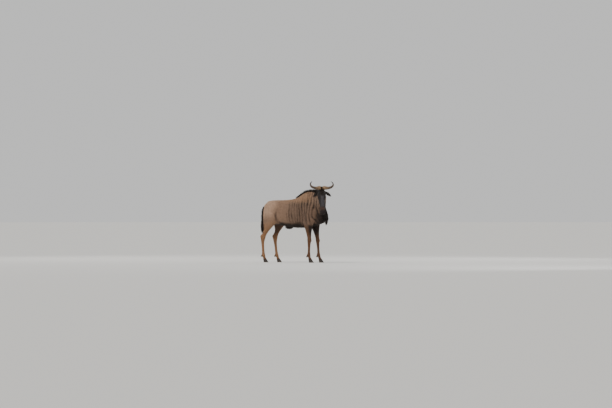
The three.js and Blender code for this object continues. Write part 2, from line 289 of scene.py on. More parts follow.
@dataclass(frozen=True)
class Stroke:
    """A ridge or a groove that follows a short path.

    Attributes:
        path: The points of the path, with x for the left side, or 0 for the middle.
        radius: How far to each side it reaches.
        height: How far it stands out, or in where it is negative.
    """

    path: tuple
    radius: float
    height: float

    def push(self, points: np.ndarray) -> np.ndarray:
        """How far the stroke moves each point outwards.

        Args:
            points: The points, folded to the left side.

        Returns:
            A distance for each point.
        """
        nearest = np.full(len(points), np.inf)
        corners = np.array(self.path, float)
        if len(corners) == 1:
            corners = np.repeat(corners, 2, axis=0)
        for start, end in zip(corners[:-1], corners[1:]):
            line = end - start
            share = (points - start) @ line / max(line @ line, 1e-12)
            foot = start + np.clip(share, 0, 1)[:, None] * line
            nearest = np.minimum(nearest, np.linalg.norm(points - foot, axis=1))
        return self.height * np.exp(-((nearest / self.radius) ** 2))


def rib(number: int) -> Stroke:
    """One rib, counted from the shoulder."""
    y = 0.14 + 0.052 * number
    return Stroke(((0.17, y, 1.10), (0.195, y + 0.03, 0.95), (0.17, y + 0.05, 0.80)), 0.013, 0.0022)


BODY_STROKES = (
    Stroke(((0.085, -0.03, 1.31), (0.15, -0.15, 1.02)), 0.030, 0.008),
    Stroke(((0.12, 0.09, 1.24), (0.165, 0.07, 0.86)), 0.042, -0.009),
    Stroke(((0.165, -0.03, 0.94), (0.15, 0.0, 0.83)), 0.055, 0.007),
    Stroke(((0.145, 0.035, 0.785),), 0.028, 0.010),
    Stroke(((0.14, -0.27, 0.95),), 0.050, 0.010),
    Stroke(((0.10, -0.20, 1.28), (0.15, -0.29, 1.03)), 0.030, -0.009),
    Stroke(((0.12, 0.60, 1.165),), 0.036, 0.013),
    Stroke(((0.065, 0.92, 1.10),), 0.032, 0.010),
    Stroke(((0.15, 0.49, 1.09), (0.16, 0.52, 1.02)), 0.055, -0.012),
    Stroke(((0.17, 0.60, 0.91), (0.15, 0.555, 0.79)), 0.026, 0.011),
    Stroke(((0.18, 0.67, 0.93), (0.16, 0.635, 0.80)), 0.022, -0.012),
    Stroke(((0.12, 0.88, 1.05), (0.15, 0.87, 0.80)), 0.024, -0.007),
    Stroke(((0.10, 0.14, 0.70), (0.09, 0.05, 0.69)), 0.030, -0.006),
    *(rib(number) for number in range(7)),
)

FORELEG_STROKES = (
    Stroke(((0.107, -0.100, 0.432),), 0.026, 0.005),
    Stroke(((0.130, -0.040, 0.37), (0.124, -0.036, 0.19)), 0.008, -0.0035),
    Stroke(((0.084, -0.040, 0.37), (0.084, -0.036, 0.19)), 0.008, -0.0035),
    Stroke(((0.145, -0.060, 0.66), (0.132, -0.062, 0.50)), 0.016, -0.005),
    Stroke(((0.104, -0.012, 0.140), (0.104, -0.014, 0.120)), 0.022, 0.012),
)

HINDLEG_STROKES = (
    Stroke(((0.140, 0.900, 0.66), (0.130, 0.952, 0.54)), 0.015, -0.009),
    Stroke(((0.090, 0.900, 0.66), (0.086, 0.952, 0.54)), 0.015, -0.009),
    Stroke(((0.109, 0.996, 0.505),), 0.022, 0.007),
    Stroke(((0.138, 0.935, 0.47),), 0.020, 0.005),
    Stroke(((0.127, 0.958, 0.38), (0.125, 0.950, 0.20)), 0.008, -0.0035),
    Stroke(((0.086, 0.958, 0.38), (0.086, 0.950, 0.20)), 0.008, -0.0035),
    Stroke(((0.105, 0.966, 0.143), (0.105, 0.962, 0.122)), 0.022, 0.012),
)

NOSTRIL = ((0.021, -0.535, -0.064), (0.030, -0.528, -0.055), (0.043, -0.508, -0.050), (0.050, -0.486, -0.056))
MOUTH = (
    (0.0, -0.541, -0.089),
    (0.026, -0.530, -0.090),
    (0.040, -0.511, -0.094),
    (0.0425, -0.485, -0.098),
    (0.037, -0.440, -0.102),
    (0.034, -0.405, -0.106),
)
UPPER_LIP = ((0.0, -0.542, -0.074), (0.034, -0.530, -0.075), (0.048, -0.510, -0.079), (0.050, -0.475, -0.084))
LOWER_LIP = ((0.0, -0.536, -0.101), (0.022, -0.522, -0.104), (0.032, -0.495, -0.108), (0.031, -0.450, -0.112))

HEAD_STROKES = (
    Stroke(((0.056, -0.100, -0.012), (0.072, -0.140, -0.012), (0.062, -0.182, -0.022)), 0.014, 0.0075),
    Stroke(((0.060, -0.120, -0.074), (0.066, -0.160, -0.072)), 0.009, 0.003),
    Stroke(((0.068, -0.182, -0.052), (0.055, -0.235, -0.060)), 0.013, -0.005),
    Stroke(((0.063, -0.207, -0.040),), 0.010, 0.005),
    Stroke(((0.070, -0.165, -0.088), (0.050, -0.300, -0.076)), 0.009, 0.0035),
    Stroke(((0.056, -0.06, -0.13), (0.060, -0.12, -0.155)), 0.036, 0.008),
    Stroke(((0.050, -0.22, -0.128), (0.045, -0.33, -0.112)), 0.020, -0.006),
    Stroke(((0.034, -0.16, 0.006), (0.030, -0.42, -0.002)), 0.010, 0.003),
    Stroke(((0.0, -0.20, 0.010), (0.0, -0.36, 0.008)), 0.028, 0.004),
    Stroke(((0.016, -0.524, -0.040), (0.036, -0.505, -0.036), (0.051, -0.480, -0.044)), 0.011, 0.0036),
    Stroke(((0.022, -0.536, -0.072), (0.042, -0.520, -0.068)), 0.008, 0.0018),
    Stroke(((0.0, -0.542, -0.068), (0.020, -0.540, -0.070)), 0.026, 0.0085),
    Stroke(((0.0, -0.528, -0.106), (0.016, -0.520, -0.106)), 0.013, 0.0040),
    Stroke(NOSTRIL, 0.0062, -0.0100),
    Stroke(MOUTH, 0.0048, -0.0080),
    Stroke(UPPER_LIP, 0.010, 0.0030),
    Stroke(LOWER_LIP, 0.009, 0.0028),
    Stroke(((0.0, -0.534, -0.052), (0.0, -0.541, -0.084)), 0.004, -0.003),
)


def read(rows: bpy.types.bpy_prop_collection, name: str, width: int, kind: type = np.float32) -> np.ndarray:
    """What the elements of a mesh say under a name, with a row for each.

    Args:
        rows: The elements.
        name: The name.
        width: How many numbers each of them has.
        kind: The kind of number.

    Returns:
        The rows.
    """
    values = np.zeros(len(rows) * width, kind)
    rows.foreach_get(name, values)
    return values.reshape(-1, width)


def normals_of(mesh: bpy.types.Mesh) -> np.ndarray:
    """A mesh's vertex normals, one row each."""
    return read(mesh.vertices, "normal", 3).astype(float)


def mesh_of(name: str, bm: bmesh.types.BMesh) -> bpy.types.Mesh:
    """A new mesh with the contents of a bmesh, which is freed.

    Args:
        name: Its name.
        bm: The bmesh.

    Returns:
        The mesh.
    """
    mesh = bpy.data.meshes.new(name)
    bm.to_mesh(mesh)
    bm.free()
    return mesh


def placed(name: str, data: bpy.types.ID) -> bpy.types.Object:
    """A new object in the scene.

    Args:
        name: Its name.
        data: Its mesh, light or camera.

    Returns:
        The object.
    """
    made = bpy.data.objects.new(name, data)
    bpy.context.scene.collection.objects.link(made)
    return made


@dataclass
class Shell:
    """A surface as arrays, while it is being shaped.

    Attributes:
        points: A row for each vertex.
        edges: The two vertices of each edge.
    """

    points: np.ndarray
    edges: np.ndarray

    @classmethod
    def of(cls, mesh: bpy.types.Mesh) -> "Shell":
        """The shell of a mesh."""
        points = read(mesh.vertices, "co", 3).astype(float)
        return cls(points, read(mesh.edges, "vertices", 2, np.int32))

    def around(self, values: np.ndarray) -> np.ndarray:
        """The mean of each vertex's neighbours, for values with a row for each vertex.

        Args:
            values: The values.

        Returns:
            The means, in the same shape.
        """
        a, b = self.edges.T
        size = len(values)
        share = 1.0 / np.maximum(np.bincount(self.edges.ravel(), minlength=size), 1)
        columns = values.reshape(size, -1).T
        sums = [np.bincount(a, c[b], size) + np.bincount(b, c[a], size) for c in columns]
        return (np.array(sums) * share).T.reshape(values.shape)

    def spread(self, values: np.ndarray, rounds: int) -> np.ndarray:
        """Values smoothed over the surface, that many times.

        Args:
            values: The values.
            rounds: How many times.

        Returns:
            The smoothed values.
        """
        for _ in range(rounds):
            values = 0.5 * values + 0.5 * self.around(values)
        return values

    def smooth(self, weight: np.ndarray, rounds: int) -> None:
        """Smooths the points without shrinking them.

        Args:
            weight: How strongly each vertex moves, 0 to 1.
            rounds: How many times.
        """
        for _ in range(rounds):
            for factor in (0.5, -0.52):
                self.points += (self.around(self.points) - self.points) * weight[:, None] * factor

    def put(self, mesh: bpy.types.Mesh) -> None:
        """Writes the points to a mesh."""
        mesh.vertices.foreach_set("co", self.points.astype(np.float32).ravel())
        mesh.update()

    def push_out(self, mesh: bpy.types.Mesh, distance: np.ndarray) -> None:
        """Moves each point out of the mesh by its distance, and writes them to the mesh."""
        self.points += normals_of(mesh) * distance[:, None]
        self.put(mesh)


def merged_copy(nodes: list[str], grow: float) -> bmesh.types.BMesh:
    """Copies of CAD nodes in one bmesh, each with its loose triangles merged.

    Args:
        nodes: The nodes to copy.
        grow: How far each copy is made larger.

    Returns:
        The bmesh, with each face's material index telling its place in nodes.
    """
    whole = bmesh.new()
    for index, node in enumerate(nodes):
        part = bmesh.new()
        part.from_mesh(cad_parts[node].data)
        bmesh.ops.remove_doubles(part, verts=part.verts, dist=1e-5)
        part.normal_update()
        for face in part.faces:
            face.material_index = index
        for vertex in part.verts:
            vertex.co += vertex.normal * grow
        copy = mesh_of("copy", part)
        whole.from_mesh(copy)
        bpy.data.meshes.remove(copy)
    return whole


def remeshed(name: str, bm: bmesh.types.BMesh, voxel: float) -> bpy.types.Object:
    """An object with an even mesh over the outside of a bmesh.

    Args:
        name: The object's name.
        bm: What it covers. It is freed.
        voxel: The size of the mesh's faces.

    Returns:
        The new object, with the modifier already applied.
    """
    mesh = mesh_of(name, bm)
    made = placed(name, mesh)
    modifier = made.modifiers.new("even", "REMESH")
    modifier.mode = "VOXEL"
    modifier.voxel_size = voxel
    evaluated = made.evaluated_get(bpy.context.evaluated_depsgraph_get())
    even = bpy.data.meshes.new_from_object(evaluated)
    made.modifiers.clear()
    made.data = even
    bpy.data.meshes.remove(mesh)
    even.materials.clear()
    return made


def finer(mesh: bpy.types.Mesh, chosen: np.ndarray) -> None:
    """Halves the faces of a mesh where vertices are chosen.

    Args:
        mesh: The mesh, changed in place.
        chosen: True for each vertex in the finer place.
    """
    bm = bmesh.new()
    bm.from_mesh(mesh)
    bm.verts.ensure_lookup_table()
    edges = [edge for edge in bm.edges if chosen[edge.verts[0].index] and chosen[edge.verts[1].index]]
    bmesh.ops.subdivide_edges(bm, edges=edges, cuts=1, use_grid_fill=True)
    bmesh.ops.triangulate(bm, faces=[face for face in bm.faces if len(face.verts) > 4])
    bm.to_mesh(mesh)
    bm.free()


def set_colours(mesh: bpy.types.Mesh, colours: np.ndarray, name: str = "markings") -> None:
    """Stores a colour for each vertex of a mesh under a name.

    Args:
        mesh: The mesh.
        colours: The colours.
        name: The name.
    """
    attribute = mesh.color_attributes.new(name, "FLOAT_COLOR", "POINT")
    rows = np.ones((len(colours), 4), np.float32)
    rows[:, :3] = colours
    attribute.data.foreach_set("color", rows.ravel())


def set_values(mesh: bpy.types.Mesh, values: np.ndarray, name: str) -> None:
    """Stores a number for each vertex of a mesh under a name."""
    attribute = mesh.attributes.new(name, "FLOAT", "POINT")
    attribute.data.foreach_set("value", values.astype(np.float32))


def smooth_faces(mesh: bpy.types.Mesh) -> None:
    """Shades all of a mesh smooth."""
    mesh.polygons.foreach_set("use_smooth", np.ones(len(mesh.polygons), bool))
    mesh.update()


@dataclass
class Markings:
    """The colours of the skin and the coat, as a rule of place alone.

    Attributes:
        stripe_gap: Distance from one upright stripe to the next.
        fold_shade: Where the flank creases in front of the thigh, for the painted shade in the crease.
        spine: The middle line of trunk and neck seen from above, in body space.
    """

    stripe_gap: float = 0.052
    fold_shade: Stroke = Stroke(((0.165, 0.605, 1.06), (0.175, 0.622, 0.95), (0.165, 0.64, 0.79)), 0.022, 1.0)
    spine: tuple = (
        (0.0, 0.965),
        (0.0, -0.07),
        (-0.028, -0.19),
        (-0.085, -0.285),
        (-0.155, -0.34),
        (-0.24, -0.378),
    )

    def along(self, points: np.ndarray) -> np.ndarray:
        """How far from the tail each point of body space is, along the spine.

        Args:
            points: Points of body space.

        Returns:
            The distance for each point.
        """
        nearest = np.full(len(points), np.inf)
        length = np.zeros(len(points))
        run = 0.0
        corners = np.array(self.spine, float)
        for start, end in zip(corners[:-1], corners[1:]):
            line = end - start
            share = np.clip((points[:, :2] - start) @ line / (line @ line), 0, 1)
            distance = np.linalg.norm(points[:, :2] - start - share[:, None] * line, axis=1)
            closer = distance < nearest
            length = np.where(closer, run + share * np.linalg.norm(line), length)
            nearest = np.minimum(nearest, distance)
            run += np.linalg.norm(line)
        return length

    def stripes(self, points: np.ndarray, weights: np.ndarray) -> np.ndarray:
        """How dark the upright stripes are, 0 to 1, on points of body space.

        Args:
            points: Points of body space.
            weights: How far each point belongs to each region.

        Returns:
            The darkness of the stripes.
        """
        along = self.along(points)
        stretched = points * (1.0, 1.0, 0.35)
        wobble = 0.016 * waves(stretched, 0.24, 3)
        phase = (along + wobble + 0.05 * (points[:, 2] - 1.0)) / self.stripe_gap * 2 * math.pi
        strength = np.clip(0.78 + 0.45 * waves(stretched, 0.11, 4), 0.0, 1.0)
        band = ramp(-0.1, 0.7, np.sin(phase)) * strength
        body = weights[:, Region.TRUNK.value] + weights[:, Region.NECK.value]
        front = ramp(0.55, 0.66, along + 0.03 * waves(points, 0.3, 5))
        high = np.maximum(ramp(1.24, 1.14, points[:, 2]), ramp(0.92, 1.06, along))
        low = ramp(0.70, 0.78, points[:, 2])
        return band * front * high * low * np.clip(body, 0, 1)

    def trunk(self, points: np.ndarray, fold_shade: np.ndarray) -> np.ndarray:
        """The trunk's colours: pale rump lightened further with painted sunlight, brown back with painted
        warm sunlight along its top, dark chest, a darker underside with painted shade under the body, and
        painted shade in the flank's crease.

        Args:
            points: Points of body space.
            fold_shade: How deep each lies in the painted shade of the flank's crease.

        Returns:
            A linear colour for each point.
        """
        x, y, z = points.T
        blotch = waves(points, 0.35, 7)
        standing = stood_even(points, Region.FORELEG)[:, 1]
        over_leg = np.maximum(ramp(0.12, 0.04, standing) * ramp(-0.24, -0.15, standing), ramp(0.54, 0.62, y))
        # Darker towards the underside: partly its own darker hair, partly painted shade under the body
        belly_dark_and_shade = ramp(0.81, 0.745, z + 0.02 * blotch) * (1 - over_leg * ramp(0.065, 0.105, np.abs(x)))
        return layered(
            (154, 124, 102),
            len(points),
            # Pale rump: its own paler hair, lightened further as painted sunlight from above
            ((198, 163, 137), ramp(0.52, 0.80, y + 0.05 * blotch) * ramp(0.80, 0.98, z)),
            # Painted warm sunlight along the top of the back
            ((168, 131, 100), ramp(1.13, 1.22, z) * ramp(0.9, 0.3, y) * 0.8),
            ((128, 103, 86), ramp(0.42, 0.27, y) * ramp(1.22, 1.10, z) * 0.75),
            ((140, 112, 93), ramp(0.12, -0.05, y) * ramp(-0.32, -0.2, y) * ramp(1.2, 1.0, z)),
            ((160, 130, 108), ramp(0.0, -0.2, y) * ramp(1.0, 1.2, z)),
            ((44, 34, 28), belly_dark_and_shade * 0.95),
            ((56, 43, 37), ramp(-0.17, -0.28, y) * ramp(1.06, 0.90, z + 0.02 * blotch)),
            ((72, 54, 45), fold_shade * 0.75),
            ((50, 40, 35), ramp(0.045, 0.0, np.abs(x)) * ramp(0.76, 0.69, z) * 0.8),
            ((88, 66, 50), ramp(0.93, 0.98, y) * ramp(0.09, 0.03, np.abs(x)) * 0.7),
        )

    def neck(self, points: np.ndarray) -> np.ndarray:
        """The neck's colours, darker towards the throat.

        Args:
            points: Points of body space.

        Returns:
            A linear colour for each point.
        """
        _, y, z = points.T
        return layered(
            (158, 129, 108),
            len(points),
            ((116, 92, 77), ramp(1.20, 1.0, z)),
            ((52, 42, 37), ramp(-0.335, -0.39, y) * ramp(1.3, 1.1, z) * 0.9),
        )

    def foreleg(self, points: np.ndarray) -> np.ndarray:
        """The forelegs' colours: brown, near black in front above the knee, with painted shade near black on
        the inner side above the knee.

        Args:
            points: Points of body space.

        Returns:
            A linear colour for each point.
        """
        x, _, z = points.T
        ahead = ramp(-0.035, -0.085, stood_even(points, Region.FORELEG)[:, 1])
        # Painted shade: the inner side of each foreleg, between the legs, is darkened
        inner_shade = ramp(0.118, 0.085, np.abs(x))
        return layered(
            (114, 79, 55),
            len(points),
            ((124, 98, 80), ramp(0.56, 0.80, z)),
            ((34, 25, 21), np.maximum(ahead, inner_shade) * ramp(0.44, 0.62, z) * 0.92),
            ((70, 50, 38), ramp(0.13, 0.05, z)),
            ((72, 52, 41), ramp(0.0, -0.6, waves(points, 0.12, 8)) * 0.3),
        )

    def hindleg(self, points: np.ndarray, fold_shade: np.ndarray) -> np.ndarray:
        """The hind legs' colours: tan, with painted shade on the inner side and in the flank's crease.

        Args:
            points: Points of body space.
            fold_shade: How deep each lies in the painted shade of the flank's crease.

        Returns:
            A linear colour for each point.
        """
        x, _, z = points.T
        return layered(
            (156, 115, 82),
            len(points),
            ((162, 127, 100), ramp(0.56, 0.80, z)),
            # Painted shade: the inner side of each hind leg, between the legs, is darkened
            ((78, 58, 47), ramp(0.118, 0.085, np.abs(x)) * ramp(0.45, 0.62, z) * 0.85),
            ((72, 54, 45), fold_shade * 0.75),
            ((80, 58, 44), ramp(0.13, 0.05, z)),
        )

    def face(self, head: np.ndarray) -> np.ndarray:
        """The face's colours: a painted grey highlight along the ridge of the nose, brown band over the
        nostrils, paler lips, cheeks and jaw.

        Args:
            head: Points of head space.

        Returns:
            A linear colour for each point.
        """
        mirrored = folded(head)
        side, nose, depth = mirrored[:, 0], -head[:, 1], head[:, 2]
        # Painted highlight: the flat ridge of the nose is painted lighter grey, as light falling on it from
        # above
        bridge_highlight = ramp(0.040, 0.018, side) * ramp(-0.03, -0.008, depth)
        band = ramp(0.37, 0.43, nose) * ramp(0.485, 0.44, nose) * ramp(-0.10, -0.03, depth)
        return layered(
            (40, 34, 33),
            len(head),
            ((70, 66, 69), bridge_highlight * ramp(0.09, 0.16, nose) * ramp(0.43, 0.36, nose)),
            ((88, 61, 46), band * 0.6),
            ((36, 27, 25), ramp(0.435, 0.485, nose)),
            ((92, 80, 74), Stroke(NOSTRIL, 0.016, 0.55).push(mirrored)),
            ((92, 78, 70), Stroke(LOWER_LIP, 0.011, 0.60).push(mirrored)),
            ((112, 91, 77), ramp(0.17, 0.02, nose) * ramp(-0.07, -0.13, depth) * 0.8),
            ((80, 62, 50), ramp(0.35, 0.22, nose) * ramp(-0.085, -0.12, depth) * 0.5),
        )

    def colours(self, frame_points: np.ndarray, weights: np.ndarray) -> np.ndarray:
        """The linear colour of each point.

        Args:
            frame_points: Points of the frame.
            weights: How far each point belongs to each region.

        Returns:
            A row of red, green and blue for each point.
        """
        points = frame_points - BODY
        count = len(points)
        # Painted shade in the flank's crease in front of the thigh
        fold_shade = self.fold_shade.push(folded(stood_even(points, Region.HINDLEG))) * ramp(1.08, 0.88, points[:, 2])
        regions = {
            Region.TRUNK: self.trunk(points, fold_shade),
            Region.NECK: self.neck(points),
            Region.HEAD: self.face(to_head(frame_points)),
            Region.EAR: layered((46, 39, 36), count),
            Region.FORELEG: self.foreleg(points),
            Region.HINDLEG: self.hindleg(points, fold_shade),
            Region.TAIL: layered((30, 26, 25), count),
        }
        layers = np.stack([regions[region] for region in Region], axis=1)
        colour = (layers * weights[:, :, None]).sum(1)
        dark = np.clip(0.92 * self.stripes(points, weights), 0, 1)
        colour = blend(colour, paint(38, 31, 28), dark)
        return colour * (1.0 + 0.07 * waves(points, 0.06, 9))[:, None]


@dataclass
class Eyes:
    """The eyeballs and the lids' opening around them.

    Attributes:
        opening: Half the length and half the height of the opening between the lids.
        lid: How thick a lid is over the eyeball.
        gaze: Which way the left eye looks, in head space.
    """

    opening: tuple = (0.0185, 0.0115)
    lid: float = 0.0024
    gaze: tuple = (0.93, -0.30, 0.18)

    def axes(self, side: int) -> tuple[np.ndarray, np.ndarray, np.ndarray]:
        """The directions out of an eye, along its opening towards the nose, and up, in head space.

        Args:
            side: 1 for the left eye, -1 for the right.

        Returns:
            The three directions.
        """
        out = unit(np.array(self.gaze) * (side, 1, 1))
        up = unit(np.array((0.0, 0.05, 1.0)) - out * out[2])
        fore = np.cross(out, up) * side
        return out, unit(fore), unit(up - out * (up @ out))

    def centre(self, side: int) -> np.ndarray:
        """The middle of an eyeball in head space."""
        return np.array(EYE_PLACE) * (side, 1, 1)

    def shape_lids(self, points: np.ndarray) -> tuple[np.ndarray, np.ndarray]:
        """Opens the lids in a skin.

        Args:
            points: The skin's points in head space, before.

        Returns:
            The points after, and how close each is to an opening (1 inside it, 0 far away).
        """
        points = points.copy()
        near = np.zeros(len(points))
        for side in (1, -1):
            out, fore, up = self.axes(side)
            offset = points - self.centre(side)
            a, b, c = offset @ fore, offset @ up, offset @ out
            close = (c > 0) & (np.linalg.norm(offset, axis=1) < 0.06)
            tall = np.where(b > 0, self.opening[1], self.opening[1] * 0.85)
            tilt = b + 0.12 * a
            ring = np.hypot(a / self.opening[0], tilt / tall)
            snap = close & (ring > 0.88) & (ring < 1.10)
            scale = np.where(snap, 1.0 / np.maximum(ring, 1e-6), 1.0)
            a, b, ring = a * scale, b * scale, ring * scale
            flat = np.hypot(a, b)
            radius = EYE_RADIUS + self.lid - 0.0055 * ramp(1.0, 0.90, ring)
            dome = np.sqrt(np.maximum(radius**2 - flat**2, 0.0))
            pull = np.where(ring <= 1.05, 1.0, ramp(2.5, 1.05, ring)) * close * (flat < radius * 0.97)
            c = c + (dome - c) * pull
            crease = 0.0022 * np.exp(-(((ring - 1.75) / 0.16) ** 2)) * (b > 0)
            c = c - crease * close
            moved = self.centre(side) + a[:, None] * fore + b[:, None] * up + c[:, None] * out
            points = np.where(close[:, None], moved, points)
            near = np.maximum(near, close * ramp(1.5, 1.05, ring))
        return points, near

    def build(self) -> list[bpy.types.Object]:
        """The two eyeballs, in place of their nodes.

        Returns:
            The objects.
        """
        made = []
        for name, side in (("left", 1), ("right", -1)):
            bm = bmesh.new()
            bmesh.ops.create_uvsphere(bm, u_segments=48, v_segments=32, radius=EYE_RADIUS)
            mesh = mesh_of(f"eyeball_{name}", bm)
            local = Shell.of(mesh)
            out, fore, up = self.axes(side)
            gaze = local.points / EYE_RADIUS
            bulge = 1.0 + 0.05 * ramp(0.80, 0.97, gaze[:, 2])
            turned = (local.points * bulge[:, None]) @ np.stack([-fore * side, up, out])
            local.points = from_head(turned + self.centre(side))
            local.put(mesh)
            iris = mesh.attributes.new("gaze", "FLOAT_VECTOR", "POINT")
            iris.data.foreach_set("vector", gaze.astype(np.float32).ravel())
            smooth_faces(mesh)
            ball = placed(f"eyeball_{name}", mesh)
            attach(ball, "root")
            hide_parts(f"eye_{name}")
            mesh.materials.append(EyeFinish().material())
            made.append(ball)
        return made


@dataclass
class Skin:
    """The one skin over the flesh nodes, and what the coat needs to know of it.

    Attributes:
        voxel: The size of its faces on the body. They are halved on the head, and again at eyes and muzzle.
        grow: How far the nodes are made larger before they are joined, so that the parting gaps close.
        rounds: How often the joined nodes are smoothed.
        eye_zone: How far around the middle of an eye its faces are finest.
        flesh: The nodes it takes the place of.
        points: Its vertices, once it is built.
        normals: The direction out at each vertex.
        weights: How far each vertex belongs to each region.
        colours: The colour of the coat at each vertex.
        bare: How bare of coat each vertex is, 0 to 1.
        map_at: The place of each vertex on its map.
    """

    voxel: float = 0.007
    grow: float = 0.0015
    rounds: int = 60
    eye_zone: float = 0.042
    flesh: tuple = tuple(REGION_OF)
    points: np.ndarray = field(default=None, repr=False)
    normals: np.ndarray = field(default=None, repr=False)
    weights: np.ndarray = field(default=None, repr=False)
    colours: np.ndarray = field(default=None, repr=False)
    bare: np.ndarray = field(default=None, repr=False)
    map_at: np.ndarray = field(default=None, repr=False)

    def region_weights(self, shell: Shell, tree: BVHTree, kinds: list[int], rounds: int) -> np.ndarray:
        """How far each vertex belongs to each region.

        Args:
            shell: The skin's shell.
            tree: The flesh nodes as a search tree.
            kinds: The region of each face of the tree.
            rounds: How often the borders are softened.

        Returns:
            A row of shares for each vertex.
        """
        rows = np.zeros((len(shell.points), len(Region)))
        for index, point in enumerate(shell.points):
            rows[index, kinds[tree.find_nearest(point)[2]]] = 1.0
        return shell.spread(rows, rounds)

    def build(self, eyes: Eyes, markings: Markings) -> bpy.types.Object:
        """Makes the skin.

        Args:
            eyes: The eyes that its lids fit.
            markings: Its colours.

        Returns:
            The finished skin.
        """
        bm = merged_copy(list(self.flesh), self.grow)
        tree = BVHTree.FromBMesh(bm)
        kinds = [REGION_OF[self.flesh[face.material_index]].value for face in bm.faces]
        for side in (1, -1):
            place = Matrix.Translation(from_head(eyes.centre(side)))
            bmesh.ops.create_uvsphere(bm, u_segments=24, v_segments=16, radius=EYE_RADIUS, matrix=place)
        skin = remeshed("skin", bm, self.voxel)
        mesh = skin.data
        shell = Shell.of(mesh)
        weights = self.region_weights(shell, tree, kinds, 4)
        shell.smooth(weights @ by_region("smoothing"), self.rounds)
        shell.put(mesh)
        finer(mesh, weights[:, Region.HEAD.value] + weights[:, Region.EAR.value] > 0.5)
        shell = Shell.of(mesh)
        head = to_head(shell.points)
        muzzle = (-head[:, 1] > 0.43) & (-head[:, 1] < 0.56) & (np.abs(head[:, 0]) < 0.08)
        finer(mesh, (from_eye(head) < self.eye_zone) | muzzle)
        shell = Shell.of(mesh)
        weights = self.region_weights(shell, tree, kinds, 9)
        shell.smooth(np.full(len(shell.points), 0.6), 4)
        shell.put(mesh)
        self.inset(shell, mesh, weights)
        self.carve(shell, mesh, weights, markings)
        opened, near_eye = eyes.shape_lids(to_head(shell.points))
        shell.points = from_head(opened)
        shell.put(mesh)
        self.finish(skin, shell, weights, near_eye, markings)
        return skin

    def inset(self, shell: Shell, mesh: bpy.types.Mesh, weights: np.ndarray) -> None:
        """Lays the skin under the coat by the coat's depth.

        Args:
            shell: The skin's shell.
            mesh: Its mesh.
            weights: Its region weights.
        """
        depth = weights @ by_region("depth") + self.grow
        foot = ramp(0.085, 0.064, shell.points[:, 2])
        shell.push_out(mesh, -(depth * (1.0 - foot) + 0.0012 * foot))
        shell.points[:, 2] -= 0.004 * foot
        shell.put(mesh)

    def carve(self, shell: Shell, mesh: bpy.types.Mesh, weights: np.ndarray, markings: Markings) -> None:
        """Adds muscles, folds, veins and the features of the face.

        Args:
            shell: The skin's shell.
            mesh: Its mesh.
            weights: Its region weights.
            markings: The markings, as the dark stripes lie a little lower.
        """
        points = shell.points - BODY
        mirrored, face = folded(points), folded(to_head(shell.points))
        trunk, neck, head, ear, fore, hind, _ = weights.T
        push = np.zeros(len(points))
        body = np.clip(1.0 - head - ear, 0, 1)
        for stroke in BODY_STROKES:
            push += BODY_RELIEF * stroke.push(mirrored) * body
        for region, strokes, share in (
            (Region.FORELEG, FORELEG_STROKES, fore),
            (Region.HINDLEG, HINDLEG_STROKES, hind),
        ):
            standing = folded(stood_even(points, region))
            for stroke in strokes:
                push += stroke.push(standing) * ramp(0.2, 0.8, share)
        for stroke in HEAD_STROKES:
            push += FACE_RELIEF * stroke.push(face) * ramp(0.3, 0.9, head)
        push -= 0.0006 * markings.stripes(points, weights)
        creases = np.sin(markings.along(points) / 0.034 * 2 * math.pi + 3 * waves(points, 0.3, 11))
        inner_bend = neck * ramp(-0.02, -0.12, points[:, 0] - points[:, 1] * 0.2)
        inner_bend = inner_bend * ramp(0.95, 1.1, points[:, 2])
        push += 0.0022 * creases * inner_bend
        push += (0.0013 * waves(points, 0.13, 12) + 0.0002 * waves(points, 0.03, 13)) * (trunk + neck)
        push += 0.0003 * waves(points, 0.03, 14) * (head + fore + hind)
        shell.push_out(mesh, push)

    def finish(
        self,
        skin: bpy.types.Object,
        shell: Shell,
        weights: np.ndarray,
        near_eye: np.ndarray,
        markings: Markings,
    ) -> None:
        """Colours and unwraps the skin, and keeps what the coat needs.

        Args:
            skin: The skin's object.
            shell: Its shell.
            weights: Its region weights.
            near_eye: How close each vertex is to the lids' openings.
            markings: Its colours.
        """
        mesh = skin.data
        face = folded(to_head(shell.points))
        nostril, lips = Stroke(NOSTRIL, 0.0095, 1.0), Stroke(MOUTH, 0.0055, 1.0)
        wet = np.clip(nostril.push(face) * 1.2 + 0.8 * lips.push(face), 0, 1)
        wet = wet * ramp(0.3, 0.8, weights[:, Region.HEAD.value])
        self.points, self.weights = shell.points, weights
        self.normals = normals_of(mesh)
        self.bare = np.maximum(wet, near_eye)
        self.bare = np.maximum(self.bare, ramp(CORONET + 0.0005, CORONET - 0.0005, shell.points[:, 2]))
        colours = markings.colours(shell.points, weights)
        self.colours = blend(colours, paint(20, 15, 14), np.maximum(near_eye * 0.9, wet * 0.8))
        # Painted shade: the skin is darkened where it shows between the tufts
        set_colours(mesh, self.colours * SKIN_GAP_SHADE)
        set_values(mesh, np.maximum(wet, 0.5 * near_eye), "wet")
        smooth_faces(mesh)
        mesh.materials.append(CoatFinish("short_coat").build())
        self.unwrap(skin)
        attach(skin, "root")
        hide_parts(*self.flesh)

    def unwrap(self, skin: bpy.types.Object) -> None:
        """Gives the skin a map of its own surface.

        Args:
            skin: The skin's object.
        """
        bpy.ops.object.select_all(action="DESELECT")
        skin.select_set(True)
        bpy.context.view_layer.objects.active = skin
        skin.data.uv_layers.new(name="OFBake")
        bpy.ops.object.mode_set(mode="EDIT")
        bpy.ops.mesh.select_all(action="SELECT")
        bpy.ops.uv.smart_project(angle_limit=math.radians(66), island_margin=0.001)
        bpy.ops.object.mode_set(mode="OBJECT")
        skin.select_set(False)
        mesh = skin.data
        owner = read(mesh.loops, "vertex_index", 1, np.int32).ravel()
        self.map_at = np.zeros((len(mesh.vertices), 2))
        self.map_at[owner] = read(mesh.uv_layers["OFBake"].uv, "vector", 2)


